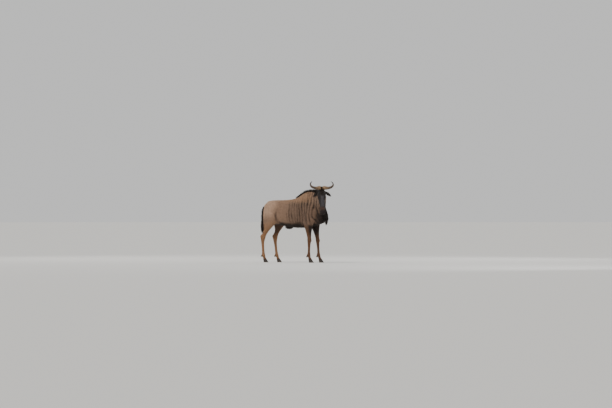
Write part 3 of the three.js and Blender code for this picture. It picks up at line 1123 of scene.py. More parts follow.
@dataclass
class Finish:
    """What the finishes share: a material of one Principled shader that they wire up.

    Attributes:
        name: The name of the material.
    """

    name: str

    def start(self) -> bpy.types.Material:
        """A new material, with its nodes ready.

        Returns:
            The material.
        """
        material = bpy.data.materials.new(self.name)
        material.use_nodes = True
        self.tree = material.node_tree
        self.shader = self.tree.nodes["Principled BSDF"]
        return material

    def material(self) -> bpy.types.Material:
        """The material, built only once."""
        return bpy.data.materials.get(self.name) or self.build()

    def node(self, kind: str, **settings: object) -> bpy.types.Node:
        """A new node with its settings.

        Args:
            kind: The kind of node.
            settings: Its settings, and the values of its inputs by name, with _ for a space.

        Returns:
            The node.
        """
        made = self.tree.nodes.new(kind)
        for key, value in settings.items():
            label = key.replace("_", " ").title()
            if label in made.inputs:
                made.inputs[label].default_value = value
            else:
                setattr(made, key, value)
        return made

    def join(self, source: bpy.types.NodeSocket, target: bpy.types.NodeSocket) -> None:
        """Links two sockets."""
        self.tree.links.new(source, target)

    def set(self, **values: float | tuple) -> None:
        """Sets the shader's own sockets."""
        for key, value in values.items():
            self.shader.inputs[key.replace("_", " ").title().replace("Ior", "IOR")].default_value = value

    def remap(
        self, source: bpy.types.NodeSocket, low: float, high: float, to_low: float, to_high: float
    ) -> bpy.types.NodeSocket:
        """A socket's value carried from one range to another.

        Args:
            source: The socket.
            low: The start of its range.
            high: The end of its range.
            to_low: What the start becomes.
            to_high: What the end becomes.

        Returns:
            The new socket.
        """
        made = self.node("ShaderNodeMapRange")
        for index, value in enumerate((low, high, to_low, to_high), start=1):
            made.inputs[index].default_value = value
        self.join(source, made.inputs[0])
        return made.outputs[0]

    def noise(self, scale: float, detail: float, roughness: float) -> bpy.types.NodeSocket:
        """Noise over the object.

        Args:
            scale: How fine it is.
            detail: How many finer layers it has.
            roughness: How strong the finer layers are.

        Returns:
            A socket from 0 to 1.
        """
        place = self.node("ShaderNodeTexCoord")
        grain = self.node("ShaderNodeTexNoise", scale=scale, detail=detail, roughness=roughness)
        self.join(place.outputs["Object"], grain.inputs["Vector"])
        return grain.outputs[0]

    def marked(self, scale: float, low: float, high: float) -> bpy.types.NodeSocket:
        """The markings, made uneven by fine noise.

        Args:
            scale: How fine the noise is.
            low: The darkest share.
            high: The lightest share.

        Returns:
            A colour socket.
        """
        colour = self.node("ShaderNodeAttribute", attribute_name="markings")
        shade = self.remap(self.noise(scale, 4.0, 0.6), 0.3, 0.7, low, high)
        mixed = self.node("ShaderNodeVectorMath", operation="SCALE")
        self.join(colour.outputs["Color"], mixed.inputs[0])
        self.join(shade, mixed.inputs["Scale"])
        return mixed.outputs[0]

    def bumped(self, height: bpy.types.NodeSocket, distance: float, strength: float) -> None:
        """Gives the shader a bump from a height.

        Args:
            height: The socket of the height.
            distance: How high it is in metres.
            strength: How much of it shows, 0 to 1.
        """
        bump = self.node("ShaderNodeBump", distance=distance, strength=strength)
        self.join(height, bump.inputs["Height"])
        self.join(bump.outputs[0], self.shader.inputs["Normal"])


@dataclass
class CoatFinish(Finish):
    """Short hair, and the skin under it, wet where the lips and nostrils are.

    Attributes:
        bump: How deep the grain of the hair is.
        streak: How fine the unevenness of its colour is.
    """

    bump: float = 0.0008
    streak: float = 260.0

    def build(self) -> bpy.types.Material:
        """Wires up the finish.

        Returns:
            The material.
        """
        material = self.start()
        self.join(self.marked(self.streak, 0.80, 1.15), self.shader.inputs["Base Color"])
        wet = self.node("ShaderNodeAttribute", attribute_name="wet")
        self.join(self.remap(wet.outputs["Fac"], 0.0, 1.0, 0.62, 0.24), self.shader.inputs["Roughness"])
        self.set(specular_ior_level=0.35)
        self.bumped(self.noise(self.streak * 1.7, 3.0, 0.7), self.bump, 0.7)
        return material


@dataclass
class HairFinish(Finish):
    """Tufts and locks, each in its own shade.

    Attributes:
        rough: How rough the hair is.
        sheen: How much its edges glow against the light.
    """

    rough: float = 0.60
    sheen: float = 0.03

    def build(self) -> bpy.types.Material:
        """Wires up the finish.

        Returns:
            The material.
        """
        material = self.start()
        self.join(self.marked(420.0, 0.86, 1.14), self.shader.inputs["Base Color"])
        self.set(roughness=self.rough, specular_ior_level=0.25, sheen_weight=self.sheen, sheen_roughness=0.4)
        return material


SHORT_HAIR = HairFinish("short_hair")
LONG_HAIR = HairFinish("long_hair", rough=0.45, sheen=0.02)


@dataclass
class HornFinish(Finish):
    """Horn, worn smooth towards the tips, or the duller horn of a hoof.

    Attributes:
        rough: How rough it is.
        scale: How fine its grain is.
        bump: How deep its grain is.
    """

    rough: float = 0.46
    scale: float = 120.0
    bump: float = 0.0006

    def build(self) -> bpy.types.Material:
        """Wires up the finish.

        Returns:
            The material.
        """
        material = self.start()
        self.join(self.marked(self.scale, 0.70, 1.25), self.shader.inputs["Base Color"])
        grain = self.noise(self.scale * 2.2, 5.0, 0.65)
        dull = self.remap(grain, 0.3, 0.7, self.rough - 0.08, self.rough + 0.14)
        self.join(dull, self.shader.inputs["Roughness"])
        self.set(specular_ior_level=0.35)
        self.bumped(grain, self.bump, 0.6)
        return material


@dataclass
class EyeFinish(Finish):
    """A wet, dark brown eye with a long level pupil."""

    name: str = "wet_eye"

    def build(self) -> bpy.types.Material:
        """Wires up the finish.

        Returns:
            The material.
        """
        material = self.start()
        gaze = self.node("ShaderNodeAttribute", attribute_name="gaze")
        parts = self.node("ShaderNodeSeparateXYZ")
        self.join(gaze.outputs["Vector"], parts.inputs[0])

        def ring(wide: float, tall: float) -> bpy.types.NodeSocket:
            """How far out of a level oval a point of the eye lies, squared.

            Args:
                wide: Half its width.
                tall: Half its height.

            Returns:
                A socket, 1 on the oval.
            """
            total = self.node("ShaderNodeMath", operation="ADD")
            for index, (axis, size) in enumerate((("X", wide), ("Y", tall))):
                share = self.node("ShaderNodeMath", operation="DIVIDE")
                self.join(parts.outputs[axis], share.inputs[0])
                share.inputs[1].default_value = size
                square = self.node("ShaderNodeMath", operation="MULTIPLY")
                self.join(share.outputs[0], square.inputs[0])
                self.join(share.outputs[0], square.inputs[1])
                self.join(square.outputs[0], total.inputs[index])
            return total.outputs[0]

        colours = ((*paint(8, 6, 6), 1), (*paint(48, 29, 18), 1), (*paint(20, 13, 11), 1))
        inner = self.node("ShaderNodeMix", data_type="RGBA")
        self.join(self.remap(ring(0.36, 0.17), 0.85, 1.2, 0.0, 1.0), inner.inputs["Factor"])
        inner.inputs[6].default_value, inner.inputs[7].default_value = colours[:2]
        outer = self.node("ShaderNodeMix", data_type="RGBA")
        self.join(self.remap(ring(0.62, 0.62), 0.75, 1.05, 0.0, 1.0), outer.inputs["Factor"])
        self.join(inner.outputs[2], outer.inputs[6])
        outer.inputs[7].default_value = colours[2]
        self.join(outer.outputs[2], self.shader.inputs["Base Color"])
        self.set(roughness=0.22, specular_ior_level=0.08, coat_weight=0.16, coat_roughness=0.04)
        return material


@dataclass
class FloorFinish(Finish):
    """A plain, pale, matt floor."""

    name: str = "pale_floor"

    def build(self) -> bpy.types.Material:
        """Wires up the finish.

        Returns:
            The material.
        """
        material = self.start()
        self.set(base_color=(0.64, 0.635, 0.62, 1), roughness=0.9, specular_ior_level=0.15)
        return material


class Flow:
    """Which way the coat lies.

    Attributes:
        EAR_OUT: Towards the tips of the left (1) and the right (-1) ear, with the head turned and level.
    """

    EAR_OUT = {1: (0.8, 0.22, -0.56), -1: (-0.5, 0.6, -0.62)}

    def directions(self, skin: Skin) -> np.ndarray:
        """The direction of the hair at each vertex of the skin, along the surface.

        Args:
            skin: The skin.

        Returns:
            A direction of length one for each vertex.
        """
        points = skin.points - BODY
        head = to_head(skin.points)
        count = len(points)

        def between(first: tuple, second: tuple, share: np.ndarray) -> np.ndarray:
            """Directions from the first to the second, by a share for each point."""
            return np.array(first) * (1 - share[:, None]) + np.array(second) * share[:, None]

        trunk = between((0.0, 1.0, -0.30), (0.0, 1.0, 0.05), ramp(0.95, 0.72, points[:, 2]))
        trunk = between(trunk, (0.0, 0.35, -1.0), ramp(-0.20, -0.36, points[:, 1]))
        neck = np.tile((0.22, 0.50, -0.85), (count, 1))
        face = between((0.0, 1.0, -0.08), (0.0, 1.0, -0.45), ramp(-0.05, -0.14, head[:, 2]))
        face[:, 0] += 0.35 * np.sign(head[:, 0])
        ears = np.where((head[:, 0] > 0)[:, None], self.EAR_OUT[1], self.EAR_OUT[-1])
        down = between((0.0, 0.18, -1.0), trunk, ramp(0.60, 0.88, points[:, 2]))
        layers = np.stack([trunk, neck, face @ HEAD_TURN.T, ears @ TURNED_AXES.T, down, down, down], 1)
        way = (layers * skin.weights[:, :, None]).sum(1)
        way += 0.22 * np.stack([waves(points, 0.10, seed, 2) for seed in (21, 22, 23)], 1)
        way -= skin.normals * (way * skin.normals).sum(1, keepdims=True)
        return unit(way)


def chunks(count: int, most: int) -> list[slice]:
    """Even runs of a count, each at most so long."""
    parts = math.ceil(count / most)
    return [slice(count * i // parts, count * (i + 1) // parts) for i in range(parts)]


def joined(
    name: str, points: np.ndarray, faces: np.ndarray, colours: np.ndarray, uvs: np.ndarray, slot: str
) -> bpy.types.Object:
    """A finished object of many small closed shapes of triangles.

    Args:
        name: The object's name.
        points: Its vertices.
        faces: Its triangles.
        colours: A colour for each vertex.
        uvs: A place on the skin's map for each corner of each triangle.
        slot: Not used.

    Returns:
        The object, riding on the body.
    """
    mesh = bpy.data.meshes.new(name)
    mesh.vertices.add(len(points))
    mesh.vertices.foreach_set("co", points.astype(np.float32).ravel())
    mesh.loops.add(len(faces) * 3)
    mesh.loops.foreach_set("vertex_index", faces.astype(np.int32).ravel())
    mesh.polygons.add(len(faces))
    mesh.polygons.foreach_set("loop_start", np.arange(0, len(faces) * 3, 3, dtype=np.int32))
    layer = mesh.uv_layers.new(name="OFBake")
    layer.uv.foreach_set("vector", uvs.astype(np.float32).ravel())
    set_colours(mesh, colours)
    smooth_faces(mesh)
    mesh.validate()
    made = placed(name, mesh)
    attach(made, "root")
    return made


@dataclass
class Tuft:
    """The shape that all short tufts repeat: a keeled lock of four triangles.

    Attributes:
        most: The most triangles in a piece of coat.
        patch: How wide a tuft's place on the map is.
        sway: How far tufts turn aside from the way of the hair, as the spread of the angle.
        sunk: How far a root lies in the skin, as a share of its width.
        clear: How far the keel and the point stay over the skin, as shares of its width.
        shades: How light the two root corners, the keel and the point are, the roots darker as painted shade.
    """

    most: int = 190_000
    patch: float = 0.003
    sway: float = 0.16
    sunk: float = 0.12
    clear: tuple = (0.30, 0.12)
    shades: tuple = (0.76, 0.76, 1.0, 1.10)

    def pattern(self) -> tuple[np.ndarray, np.ndarray]:
        """Its corners as (along, across, up), and its triangles, from a cone of three sides.

        Returns:
            The corners and the triangles.
        """
        bm = bmesh.new()
        bmesh.ops.create_cone(bm, cap_ends=True, segments=3, radius1=1.0, radius2=0.0, depth=1.0)
        bmesh.ops.remove_doubles(bm, verts=bm.verts, dist=1e-4)
        bmesh.ops.triangulate(bm, faces=bm.faces)
        corners = sorted(bm.verts, key=lambda vertex: round(vertex.co.z, 3))
        low = sorted(corners[:3], key=lambda vertex: math.atan2(vertex.co.y, vertex.co.x))
        order = {vertex: index for index, vertex in enumerate([*low, corners[3]])}
        faces = np.array([[order[vertex] for vertex in face.verts] for face in bm.faces])
        bm.free()
        shape = np.array([(0.0, -0.5, 0.0), (0.0, 0.5, 0.0), (0.42, 0.0, 0.30), (1.0, 0.0, 0.0)])
        a, b, c = shape[faces[0, 0]], shape[faces[0, 1]], shape[faces[0, 2]]
        outward = np.cross(b - a, c - a) @ (a - shape.mean(0))
        return shape, faces if outward > 0 else faces[:, ::-1]


@dataclass
class Coat:
    """The short tufts over the skin.

    Attributes:
        tuft: The tuft they repeat.
        over: The skin, to find what lies in it.
    """

    tuft: Tuft = field(default_factory=Tuft)
    over: BVHTree = field(default=None, repr=False)

    def build(self, skin_object: bpy.types.Object, skin: Skin) -> list[bpy.types.Object]:
        """Covers the skin.

        Args:
            skin_object: The skin.
            skin: What is known of it.

        Returns:
            The pieces of coat.
        """
        mesh = skin_object.data
        faces = [tuple(face.vertices) for face in mesh.polygons]
        self.over = BVHTree.FromPolygons(skin.points.tolist(), faces)
        mesh.calc_loop_triangles()
        corners = read(mesh.loop_triangles, "vertices", 3, np.int32)
        uv = read(mesh.uv_layers["OFBake"].uv, "vector", 2)[read(mesh.loop_triangles, "loops", 3, np.int32)]
        size, flow = self.sizes(skin), Flow().directions(skin)
        rng = np.random.default_rng(SEED)
        pick, share = self.scatter(skin, corners, size, rng)

        def at(values: np.ndarray) -> np.ndarray:
            """Values of the vertices, read at the tufts' roots."""
            return np.einsum("nk,nkd->nd", share, values[corners[pick]])

        root, normal, way = at(skin.points), unit(at(skin.normals)), unit(at(flow))
        tint, sizes = at(skin.colours), at(size)
        place = np.einsum("nk,nkd->nd", share, uv[pick])
        order = np.argsort(root[:, 1] - BODY[1], kind="stable")
        pieces = []
        for index, run in enumerate(chunks(len(pick), self.tuft.most // 4), start=1):
            chosen = order[run]
            rows = (values[chosen] for values in (root, normal, way, tint, sizes, place))
            pieces.append(self.piece(f"coat_{index}", rng, *rows))
        return pieces

    def scatter(
        self, skin: Skin, corners: np.ndarray, size: np.ndarray, rng: np.random.Generator
    ) -> tuple[np.ndarray, np.ndarray]:
        """Places the roots of the tufts, closer where the tufts are smaller, and none where the skin is bare.

        Args:
            skin: The skin.
            corners: The three vertices of each of its triangles.
            size: The length, width and lift of a tuft at each vertex.
            rng: Where the chances come from.

        Returns:
            The triangle of each root, and how near the root is to each of its corners.
        """
        a, b, c = (skin.points[corners[:, k]] for k in range(3))
        area = np.linalg.norm(np.cross(b - a, c - a), axis=1) / 2
        layers = skin.weights @ by_region("layers")
        wanted = layers / (0.5 * size[:, 0] * size[:, 1]) * (1.0 - ramp(0.25, 0.7, skin.bare))
        number = area * wanted[corners].mean(1)
        total = int(number.sum())
        pick = np.searchsorted(np.cumsum(number), np.arange(total) + rng.random(total))
        return np.minimum(pick, len(corners) - 1), rng.dirichlet((1.0, 1.0, 1.0), total)

    def raise_over(self, points: np.ndarray, clear: np.ndarray) -> None:
        """Lifts points that lie in the skin, in place, to a little over it.

        Args:
            points: The points.
            clear: How far over the skin each must be.
        """
        for index, point in enumerate(points):
            place, normal, _, _ = self.over.find_nearest(point)
            gap = clear[index] - (point - np.array(place)) @ np.array(normal)
            if gap > 0:
                points[index] += np.array(normal) * gap

    def sizes(self, skin: Skin) -> np.ndarray:
        """The length, width and lift of the tufts at each vertex.

        Args:
            skin: The skin.

        Returns:
            A row of length, width and lift for each vertex.
        """
        size = skin.weights @ np.stack([by_region(trait) for trait in ("length", "width", "lift")], 1)
        points, head = skin.points - BODY, to_head(skin.points)
        shorter = 1.0 - 0.60 * ramp(0.42, 0.50, -head[:, 1]) * skin.weights[:, Region.HEAD.value]
        shorter *= 1.0 - 0.45 * ramp(0.055, 0.030, from_eye(head))
        shorter *= 1.0 - 0.30 * ramp(0.25, 0.08, points[:, 2])
        longer = 1.0 + 0.55 * ramp(0.78, 0.70, points[:, 2]) * skin.weights[:, Region.TRUNK.value]
        chest = ramp(-0.28, -0.38, points[:, 1]) * ramp(1.25, 1.05, points[:, 2])
        longer += 0.5 * chest * (1 - skin.weights[:, Region.HEAD.value])
        leg = skin.weights[:, Region.FORELEG.value] + skin.weights[:, Region.HINDLEG.value]
        high = ramp(0.58, 0.82, points[:, 2]) * leg
        longer += 0.70 * high
        size[:, 0] *= shorter * longer
        size[:, 1] *= np.sqrt(shorter) * (1.0 + 0.3 * high)
        return size

    def piece(
        self,
        name: str,
        rng: np.random.Generator,
        root: np.ndarray,
        normal: np.ndarray,
        way: np.ndarray,
        tint: np.ndarray,
        sizes: np.ndarray,
        place: np.ndarray,
    ) -> bpy.types.Object:
        """One piece of coat.

        Args:
            name: Its name.
            rng: Where its chances come from.
            root: The tufts' roots.
            normal: The skin's direction out at each root.
            way: The way the hair lies at each root.
            tint: The skin's colour at each root.
            sizes: Length, width and lift of each tuft.
            place: Each root's place on the skin's map.

        Returns:
            The object.
        """
        shape, faces = self.tuft.pattern()
        count = len(root)
        across = np.cross(normal, way)
        turn = rng.normal(0.0, self.tuft.sway, (count, 1))
        way, across = way * np.cos(turn) + across * np.sin(turn), across * np.cos(turn) - way * np.sin(turn)
        length = sizes[:, :1] * rng.uniform(0.75, 1.25, (count, 1))
        width = sizes[:, 1:2] * rng.uniform(0.8, 1.2, (count, 1))
        lift = sizes[:, 2:3] * rng.uniform(0.3, 1.5, (count, 1)) * length
        base = root - normal * self.tuft.sunk * width
        points = np.empty((count, 4, 3))
        for index, (along, aside, up) in enumerate(shape):
            points[:, index] = base + way * length * along + across * width * aside
            points[:, index] += normal * (width * up + lift * along**1.5)
        for index, clear in enumerate(self.tuft.clear, start=2):
            self.raise_over(points[:, index], clear * width[:, 0])
        # The roots are darker as painted shade where the tufts lie over each other
        shades = rng.uniform(0.86, 1.15, (count, 1, 1)) * np.array(self.tuft.shades)[None, :, None]
        colours = np.clip(tint[:, None, :] * shades, 0, 1)
        patch = np.array([(-0.5, -0.5), (0.5, -0.5), (0.0, 0.1), (0.0, 0.5)]) * self.tuft.patch
        corners = place[:, None, :] + patch[None]
        all_faces = (np.arange(count) * 4)[:, None, None] + faces[None]
        uvs = corners.reshape(-1, 2)[all_faces.ravel()]
        rows = (values.reshape(-1, 3) for values in (points, all_faces, colours))
        made = joined(name, *rows, uvs, "coat")
        made.data.materials.append(SHORT_HAIR.material())
        return made


@dataclass
class Locks:
    """Long hair, as locks with three sides that taper to a point.

    Attributes:
        rings: How many sections a lock has, with its point.
        patch: How wide a lock's place on the skin's map is.
        taper: How late a lock thins towards its point.
        flatness: How thick a lock is, as a share of its width.
    """

    rings: int = 8
    patch: float = 0.003
    taper: float = 2.2
    flatness: float = 0.6

    def build(
        self, name: str, node: str, paths: np.ndarray, width: np.ndarray, tint: np.ndarray, skin: Skin
    ) -> bpy.types.Object:
        """An object of locks in place of a node.

        Args:
            name: Its name.
            node: The node it replaces.
            paths: For each lock, the points of its middle line from the root.
            width: The width of each lock.
            tint: The colour of each lock.
            skin: The skin, for the locks' places on its map.

        Returns:
            The object.
        """
        count, rings = paths.shape[:2]
        ahead = unit(np.gradient(paths, axis=1))
        rng = np.random.default_rng(SEED + count)
        spin = unit(rng.normal(size=(count, 1, 3)))
        side = unit(np.cross(ahead, spin))
        rise = np.cross(ahead, side)
        t = np.linspace(0, 1, rings)
        profile = 0.5 * (0.55 + 0.45 * ramp(0.0, 0.25, t)) * (1.0 - t**self.taper)
        radius = width[:, None, None] * profile[None, :, None]
        points = np.empty((count, rings * 3 - 2, 3))
        for corner in range(3):
            angle = corner * 2 * math.pi / 3
            ring = paths + radius * (side * math.cos(angle) + rise * math.sin(angle) * self.flatness)
            points[:, corner : (rings - 1) * 3 : 3] = ring[:, :-1]
        points[:, -1] = paths[:, -1]
        faces = [(2, 1, 0)]
        for ring in range(rings - 2):
            for corner in range(3):
                a, b = ring * 3 + corner, ring * 3 + (corner + 1) % 3
                faces += [(a, b, b + 3), (a, b + 3, a + 3)]
        top = (rings - 2) * 3
        faces += [(top + corner, top + (corner + 1) % 3, top + 3) for corner in range(3)]
        faces = np.array(faces)
        tree = kdtree.KDTree(len(skin.points))
        for index, point in enumerate(skin.points):
            tree.insert(point, index)
        tree.balance()
        near = [tree.find(point)[1] for point in paths[:, 0]]
        place = skin.map_at[near]
        along = np.repeat(t[:-1], 3).tolist() + [1.0]
        aside = np.tile((-0.5, 0.0, 0.5), rings)[: rings * 3 - 2]
        patch = np.stack([aside, np.array(along) - 0.5], 1) * self.patch
        uvs = (place[:, None] + patch[None]).reshape(-1, 2)
        # Each lock is darker at its root as painted shade inside the mass of hair, and lighter towards its
        # point
        shade = (0.75 + 0.5 * np.array(along))[None, :, None]
        colours = np.clip(tint[:, None, :] * shade, 0, 1)
        everywhere = ((np.arange(count) * (rings * 3 - 2))[:, None, None] + faces[None]).reshape(-1, 3)
        rows = points.reshape(-1, 3), everywhere, colours.reshape(-1, 3)
        made = joined(name, *rows, uvs[everywhere.ravel()], "hair")
        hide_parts(node)
        made.data.materials.append(LONG_HAIR.material())
        return made


def through(rows: tuple, at: np.ndarray) -> np.ndarray:
    """The values of a table at places between its rows.

    Args:
        rows: The rows, each with its place first.
        at: Where to read them, of any shape.

    Returns:
        The values, with one more axis.
    """
    table = np.array(rows, float)
    order = np.argsort(table[:, 0])
    table = table[order]
    return np.stack([np.interp(at, table[:, 0], column) for column in table.T[1:]], -1)


@dataclass
class LongHair:
    """The beard, the tail's hair, the mane and the forelock.

    Attributes:
        beard: Height, x, y, reach ahead, reach behind, half width.
        tail: Height, y, half depth, half width.
        mane: Place from the horns, x, y, height, length of the hair, half width.
        forelock: Place down the face, height over it, half width.
    """

    beard: tuple = (
        (1.215, -0.196, -0.376, 0.024, 0.030, 0.018),
        (1.130, -0.182, -0.392, 0.030, 0.060, 0.030),
        (1.030, -0.138, -0.404, 0.024, 0.080, 0.036),
        (0.930, -0.088, -0.404, 0.042, 0.080, 0.040),
        (0.830, -0.052, -0.396, 0.036, 0.060, 0.028),
        (0.722, -0.034, -0.380, 0.012, 0.024, 0.014),
    )
    tail: tuple = (
        (1.096, 0.935, 0.020, 0.018),
        (1.060, 0.980, 0.020, 0.018),
        (0.960, 1.000, 0.019, 0.018),
        (0.870, 1.002, 0.020, 0.021),
        (0.790, 1.004, 0.027, 0.027),
        (0.700, 1.005, 0.033, 0.033),
        (0.620, 1.004, 0.030, 0.030),
        (0.570, 1.003, 0.012, 0.012),
    )
    mane: tuple = (
        (0.0, -0.222, -0.352, 1.412, 0.026, 0.010),
        (1.0, -0.170, -0.330, 1.406, 0.046, 0.015),
        (2.0, -0.088, -0.282, 1.400, 0.054, 0.017),
        (3.0, -0.028, -0.190, 1.403, 0.058, 0.018),
        (4.0, -0.004, -0.070, 1.403, 0.056, 0.018),
        (5.0, 0.0, 0.050, 1.380, 0.054, 0.017),
        (6.0, 0.0, 0.160, 1.316, 0.046, 0.015),
        (7.0, 0.0, 0.265, 1.262, 0.026, 0.009),
    )
    forelock: tuple = (
        (-0.030, 0.040, 0.022),
        (0.000, 0.048, 0.028),
        (0.060, 0.028, 0.036),
        (0.130, 0.017, 0.030),
        (0.190, 0.012, 0.016),
    )
    locks: Locks = field(default_factory=Locks)

    def shades(self, rng: np.random.Generator, count: int) -> np.ndarray:
        """Near-black colours, a few of them browner."""
        return blend(paint(27, 24, 23), paint(66, 50, 40), rng.beta(1.2, 3.5, count))

    def wisps(self, rng: np.random.Generator, count: int, size: float) -> np.ndarray:
        """A slow sideways wander for each lock, from nothing at its root.

        Args:
            rng: Where the chances come from.
            count: How many locks.
            size: How far the tips wander.

        Returns:
            A move for each point of each lock.
        """
        t = np.linspace(0, 1, self.locks.rings)[None, :, None]
        ends = rng.normal(0, size, (count, 1, 3))
        curl = rng.normal(0, size * 0.5, (count, 1, 3))
        return ends * t**1.5 + curl * np.sin(t * math.pi * rng.uniform(1.5, 3.0, (count, 1, 1)))

    def hanging(self, rows: tuple, starts: np.ndarray, ends: np.ndarray, disc: tuple) -> np.ndarray:
        """Paths that follow a hanging mass of hair.

        Args:
            rows: The mass, as the beard is given.
            starts: The height of each root.
            ends: The height of each tip.
            disc: For each lock, its place ahead and aside in the section, at the root and at the tip.

        Returns:
            The paths, in the frame.
        """
        t = np.linspace(0, 1, self.locks.rings)
        height = starts[:, None] + (ends - starts)[:, None] * t
        x, y, fore, aft, half = np.moveaxis(through(rows, height), -1, 0)
        ahead = disc[0][:, None] + (disc[2] - disc[0])[:, None] * ramp(0.0, 0.7, t)
        aside = disc[1][:, None] + (disc[3] - disc[1])[:, None] * ramp(0.0, 0.7, t)
        reach = np.where(ahead > 0, fore, aft)
        return np.stack([x + aside * half, y - ahead * reach, height], -1) + BODY

    def build(self, skin: Skin) -> list[bpy.types.Object]:
        """All of the long hair."""
        return [self.make_beard(skin), self.make_tail(skin), self.make_mane(skin), self.make_forelock(skin)]

    def make_beard(self, skin: Skin, count: int = 3200) -> bpy.types.Object:
        """The beard, from the throat down to the chest.

        Args:
            skin: The skin.
            count: How many locks.

        Returns:
            The object.
        """
        rng = np.random.default_rng(SEED + 1)
        starts = rng.uniform(0.84, 1.235, count)
        ends = np.maximum(starts - rng.uniform(0.10, 0.21, count), 0.724 + 0.06 * rng.random(count))
        root = (rng.uniform(-0.95, 0.1, count), rng.uniform(-0.85, 0.85, count))
        tip_angle, tip_reach = rng.uniform(-1.9, 1.9, count), np.sqrt(rng.uniform(0.1, 0.98, count))
        disc = (*root, np.cos(tip_angle) * tip_reach, np.sin(tip_angle) * tip_reach)
        paths = self.hanging(self.beard, starts, ends, disc) + self.wisps(rng, count, 0.006)
        width = rng.uniform(0.0032, 0.0056, count)
        return self.locks.build("beard_hair", "beard", paths, width, self.shades(rng, count), skin)

    def make_tail(self, skin: Skin, count: int = 2500) -> bpy.types.Object:
        """The long hair of the tail, from its root down to the hocks.

        Args:
            skin: The skin.
            count: How many locks.

        Returns:
            The object.
        """
        rng = np.random.default_rng(SEED + 2)
        rows = tuple((z, 0.0, y, deep, deep, half) for z, y, deep, half in self.tail)
        starts = 0.66 + 0.42 * rng.beta(1.6, 1.0, count)
        ends = np.maximum(starts - rng.uniform(0.14, 0.26, count), 0.572 + 0.06 * rng.random(count) ** 2)
        around = rng.uniform(-math.pi, math.pi, count)
        inner, outer = rng.uniform(0.1, 0.75, count), np.sqrt(rng.uniform(0.25, 0.95, count))
        ahead, aside = np.cos(around), np.sin(around)
        disc = (ahead * inner, aside * inner, ahead * outer, aside * outer)
        paths = self.hanging(rows, starts, ends, disc) + self.wisps(rng, count, 0.005)
        width = rng.uniform(0.0030, 0.0050, count)
        return self.locks.build("tail_hair", "tail_tuft", paths, width, self.shades(rng, count), skin)

    def make_mane(self, skin: Skin, count: int = 4000) -> bpy.types.Object:
        """The mane, which stands along the crest and leans back.

        Args:
            skin: The skin.
            count: How many locks.

        Returns:
            The object.
        """
        rng = np.random.default_rng(SEED + 3)
        at = rng.uniform(0.0, 6.9, count)
        x, y, z, length, half = through(self.mane, at).T
        next_x, next_y = through(self.mane, at + 0.05).T[:2]
        back = unit(np.stack([next_x - x, next_y - y, np.zeros(count)], -1))
        side = np.stack([-back[:, 1], back[:, 0], np.zeros(count)], -1)
        aside = rng.uniform(-1, 1, count)
        root = np.stack([x, y, z - 0.042], -1) + side * (aside * half * 1.05)[:, None]
        t = np.linspace(0, 1, self.locks.rings)[None, :, None]
        reach = (0.030 + length * rng.uniform(0.75, 1.12, count))[:, None, None]
        flop = (aside * 0.5 + rng.normal(0, 0.22, count) - 0.12)[:, None, None]
        rise = np.array((0.0, 0.0, 1.0)) * (t - 0.28 * t**2 * (0.6 + np.abs(flop)))
        lean = back[:, None] * (0.55 * t**1.6) + side[:, None] * flop * t**1.4 * 0.55
        paths = root[:, None] + (rise + lean) * reach + BODY + self.wisps(rng, count, 0.004)
        width = rng.uniform(0.0030, 0.0050, count)
        return self.locks.build("mane_hair", "mane", paths, width, self.shades(rng, count), skin)

    def make_forelock(self, skin: Skin, count: int = 1300) -> bpy.types.Object:
        """The hair between the horns that lies down the forehead.

        Args:
            skin: The skin.
            count: How many locks.

        Returns:
            The object.
        """
        rng = np.random.default_rng(SEED + 4)
        starts = rng.uniform(-0.034, 0.105, count)
        ends = np.minimum(starts + rng.uniform(0.045, 0.085, count), 0.19)
        t = np.linspace(0, 1, self.locks.rings)
        at = starts[:, None] + (ends - starts)[:, None] * t
        over, half = np.moveaxis(through(self.forelock, at), -1, 0)
        aside = rng.uniform(-0.95, 0.95, count)[:, None] * (0.75 + 0.25 * t)
        lift = rng.uniform(0.2, 1.0, count)[:, None] * np.sin((0.08 + 0.72 * t) * math.pi)
        surface = np.interp(at, (-0.03, 0.0, 0.055, 0.2), (-0.030, -0.010, 0.002, 0.002))
        head = np.stack([aside * half, -at, surface + over * lift * 0.8 - 0.004], -1)
        paths = from_head(head) + self.wisps(rng, count, 0.003)
        crown = count // 3
        aside, behind = rng.uniform(-0.020, 0.020, crown), rng.uniform(-0.024, 0.014, crown)
        root = np.stack([aside, behind, np.full(crown, -0.008)], -1)
        reach = rng.uniform(0.050, 0.078, (crown, 1, 1))
        ahead, level = HEAD_TURN @ (0.0, -0.9, 0.4), HEAD_TURN @ (1.0, 0.0, 0.0)
        t = t[None, :, None]
        fan = rng.normal(0, 0.16, (crown, 1, 1)) * t**1.4
        standing = np.array((0.0, 0.0, 1.0)) * (t - 0.30 * t**2) + ahead * 0.45 * t**1.8 + level * fan
        paths[:crown] = from_head(root)[:, None] + reach * standing + self.wisps(rng, crown, 0.002)
        width = rng.uniform(0.0022, 0.0036, count)
        return self.locks.build("forelock_hair", "forelock", paths, width, self.shades(rng, count), skin)


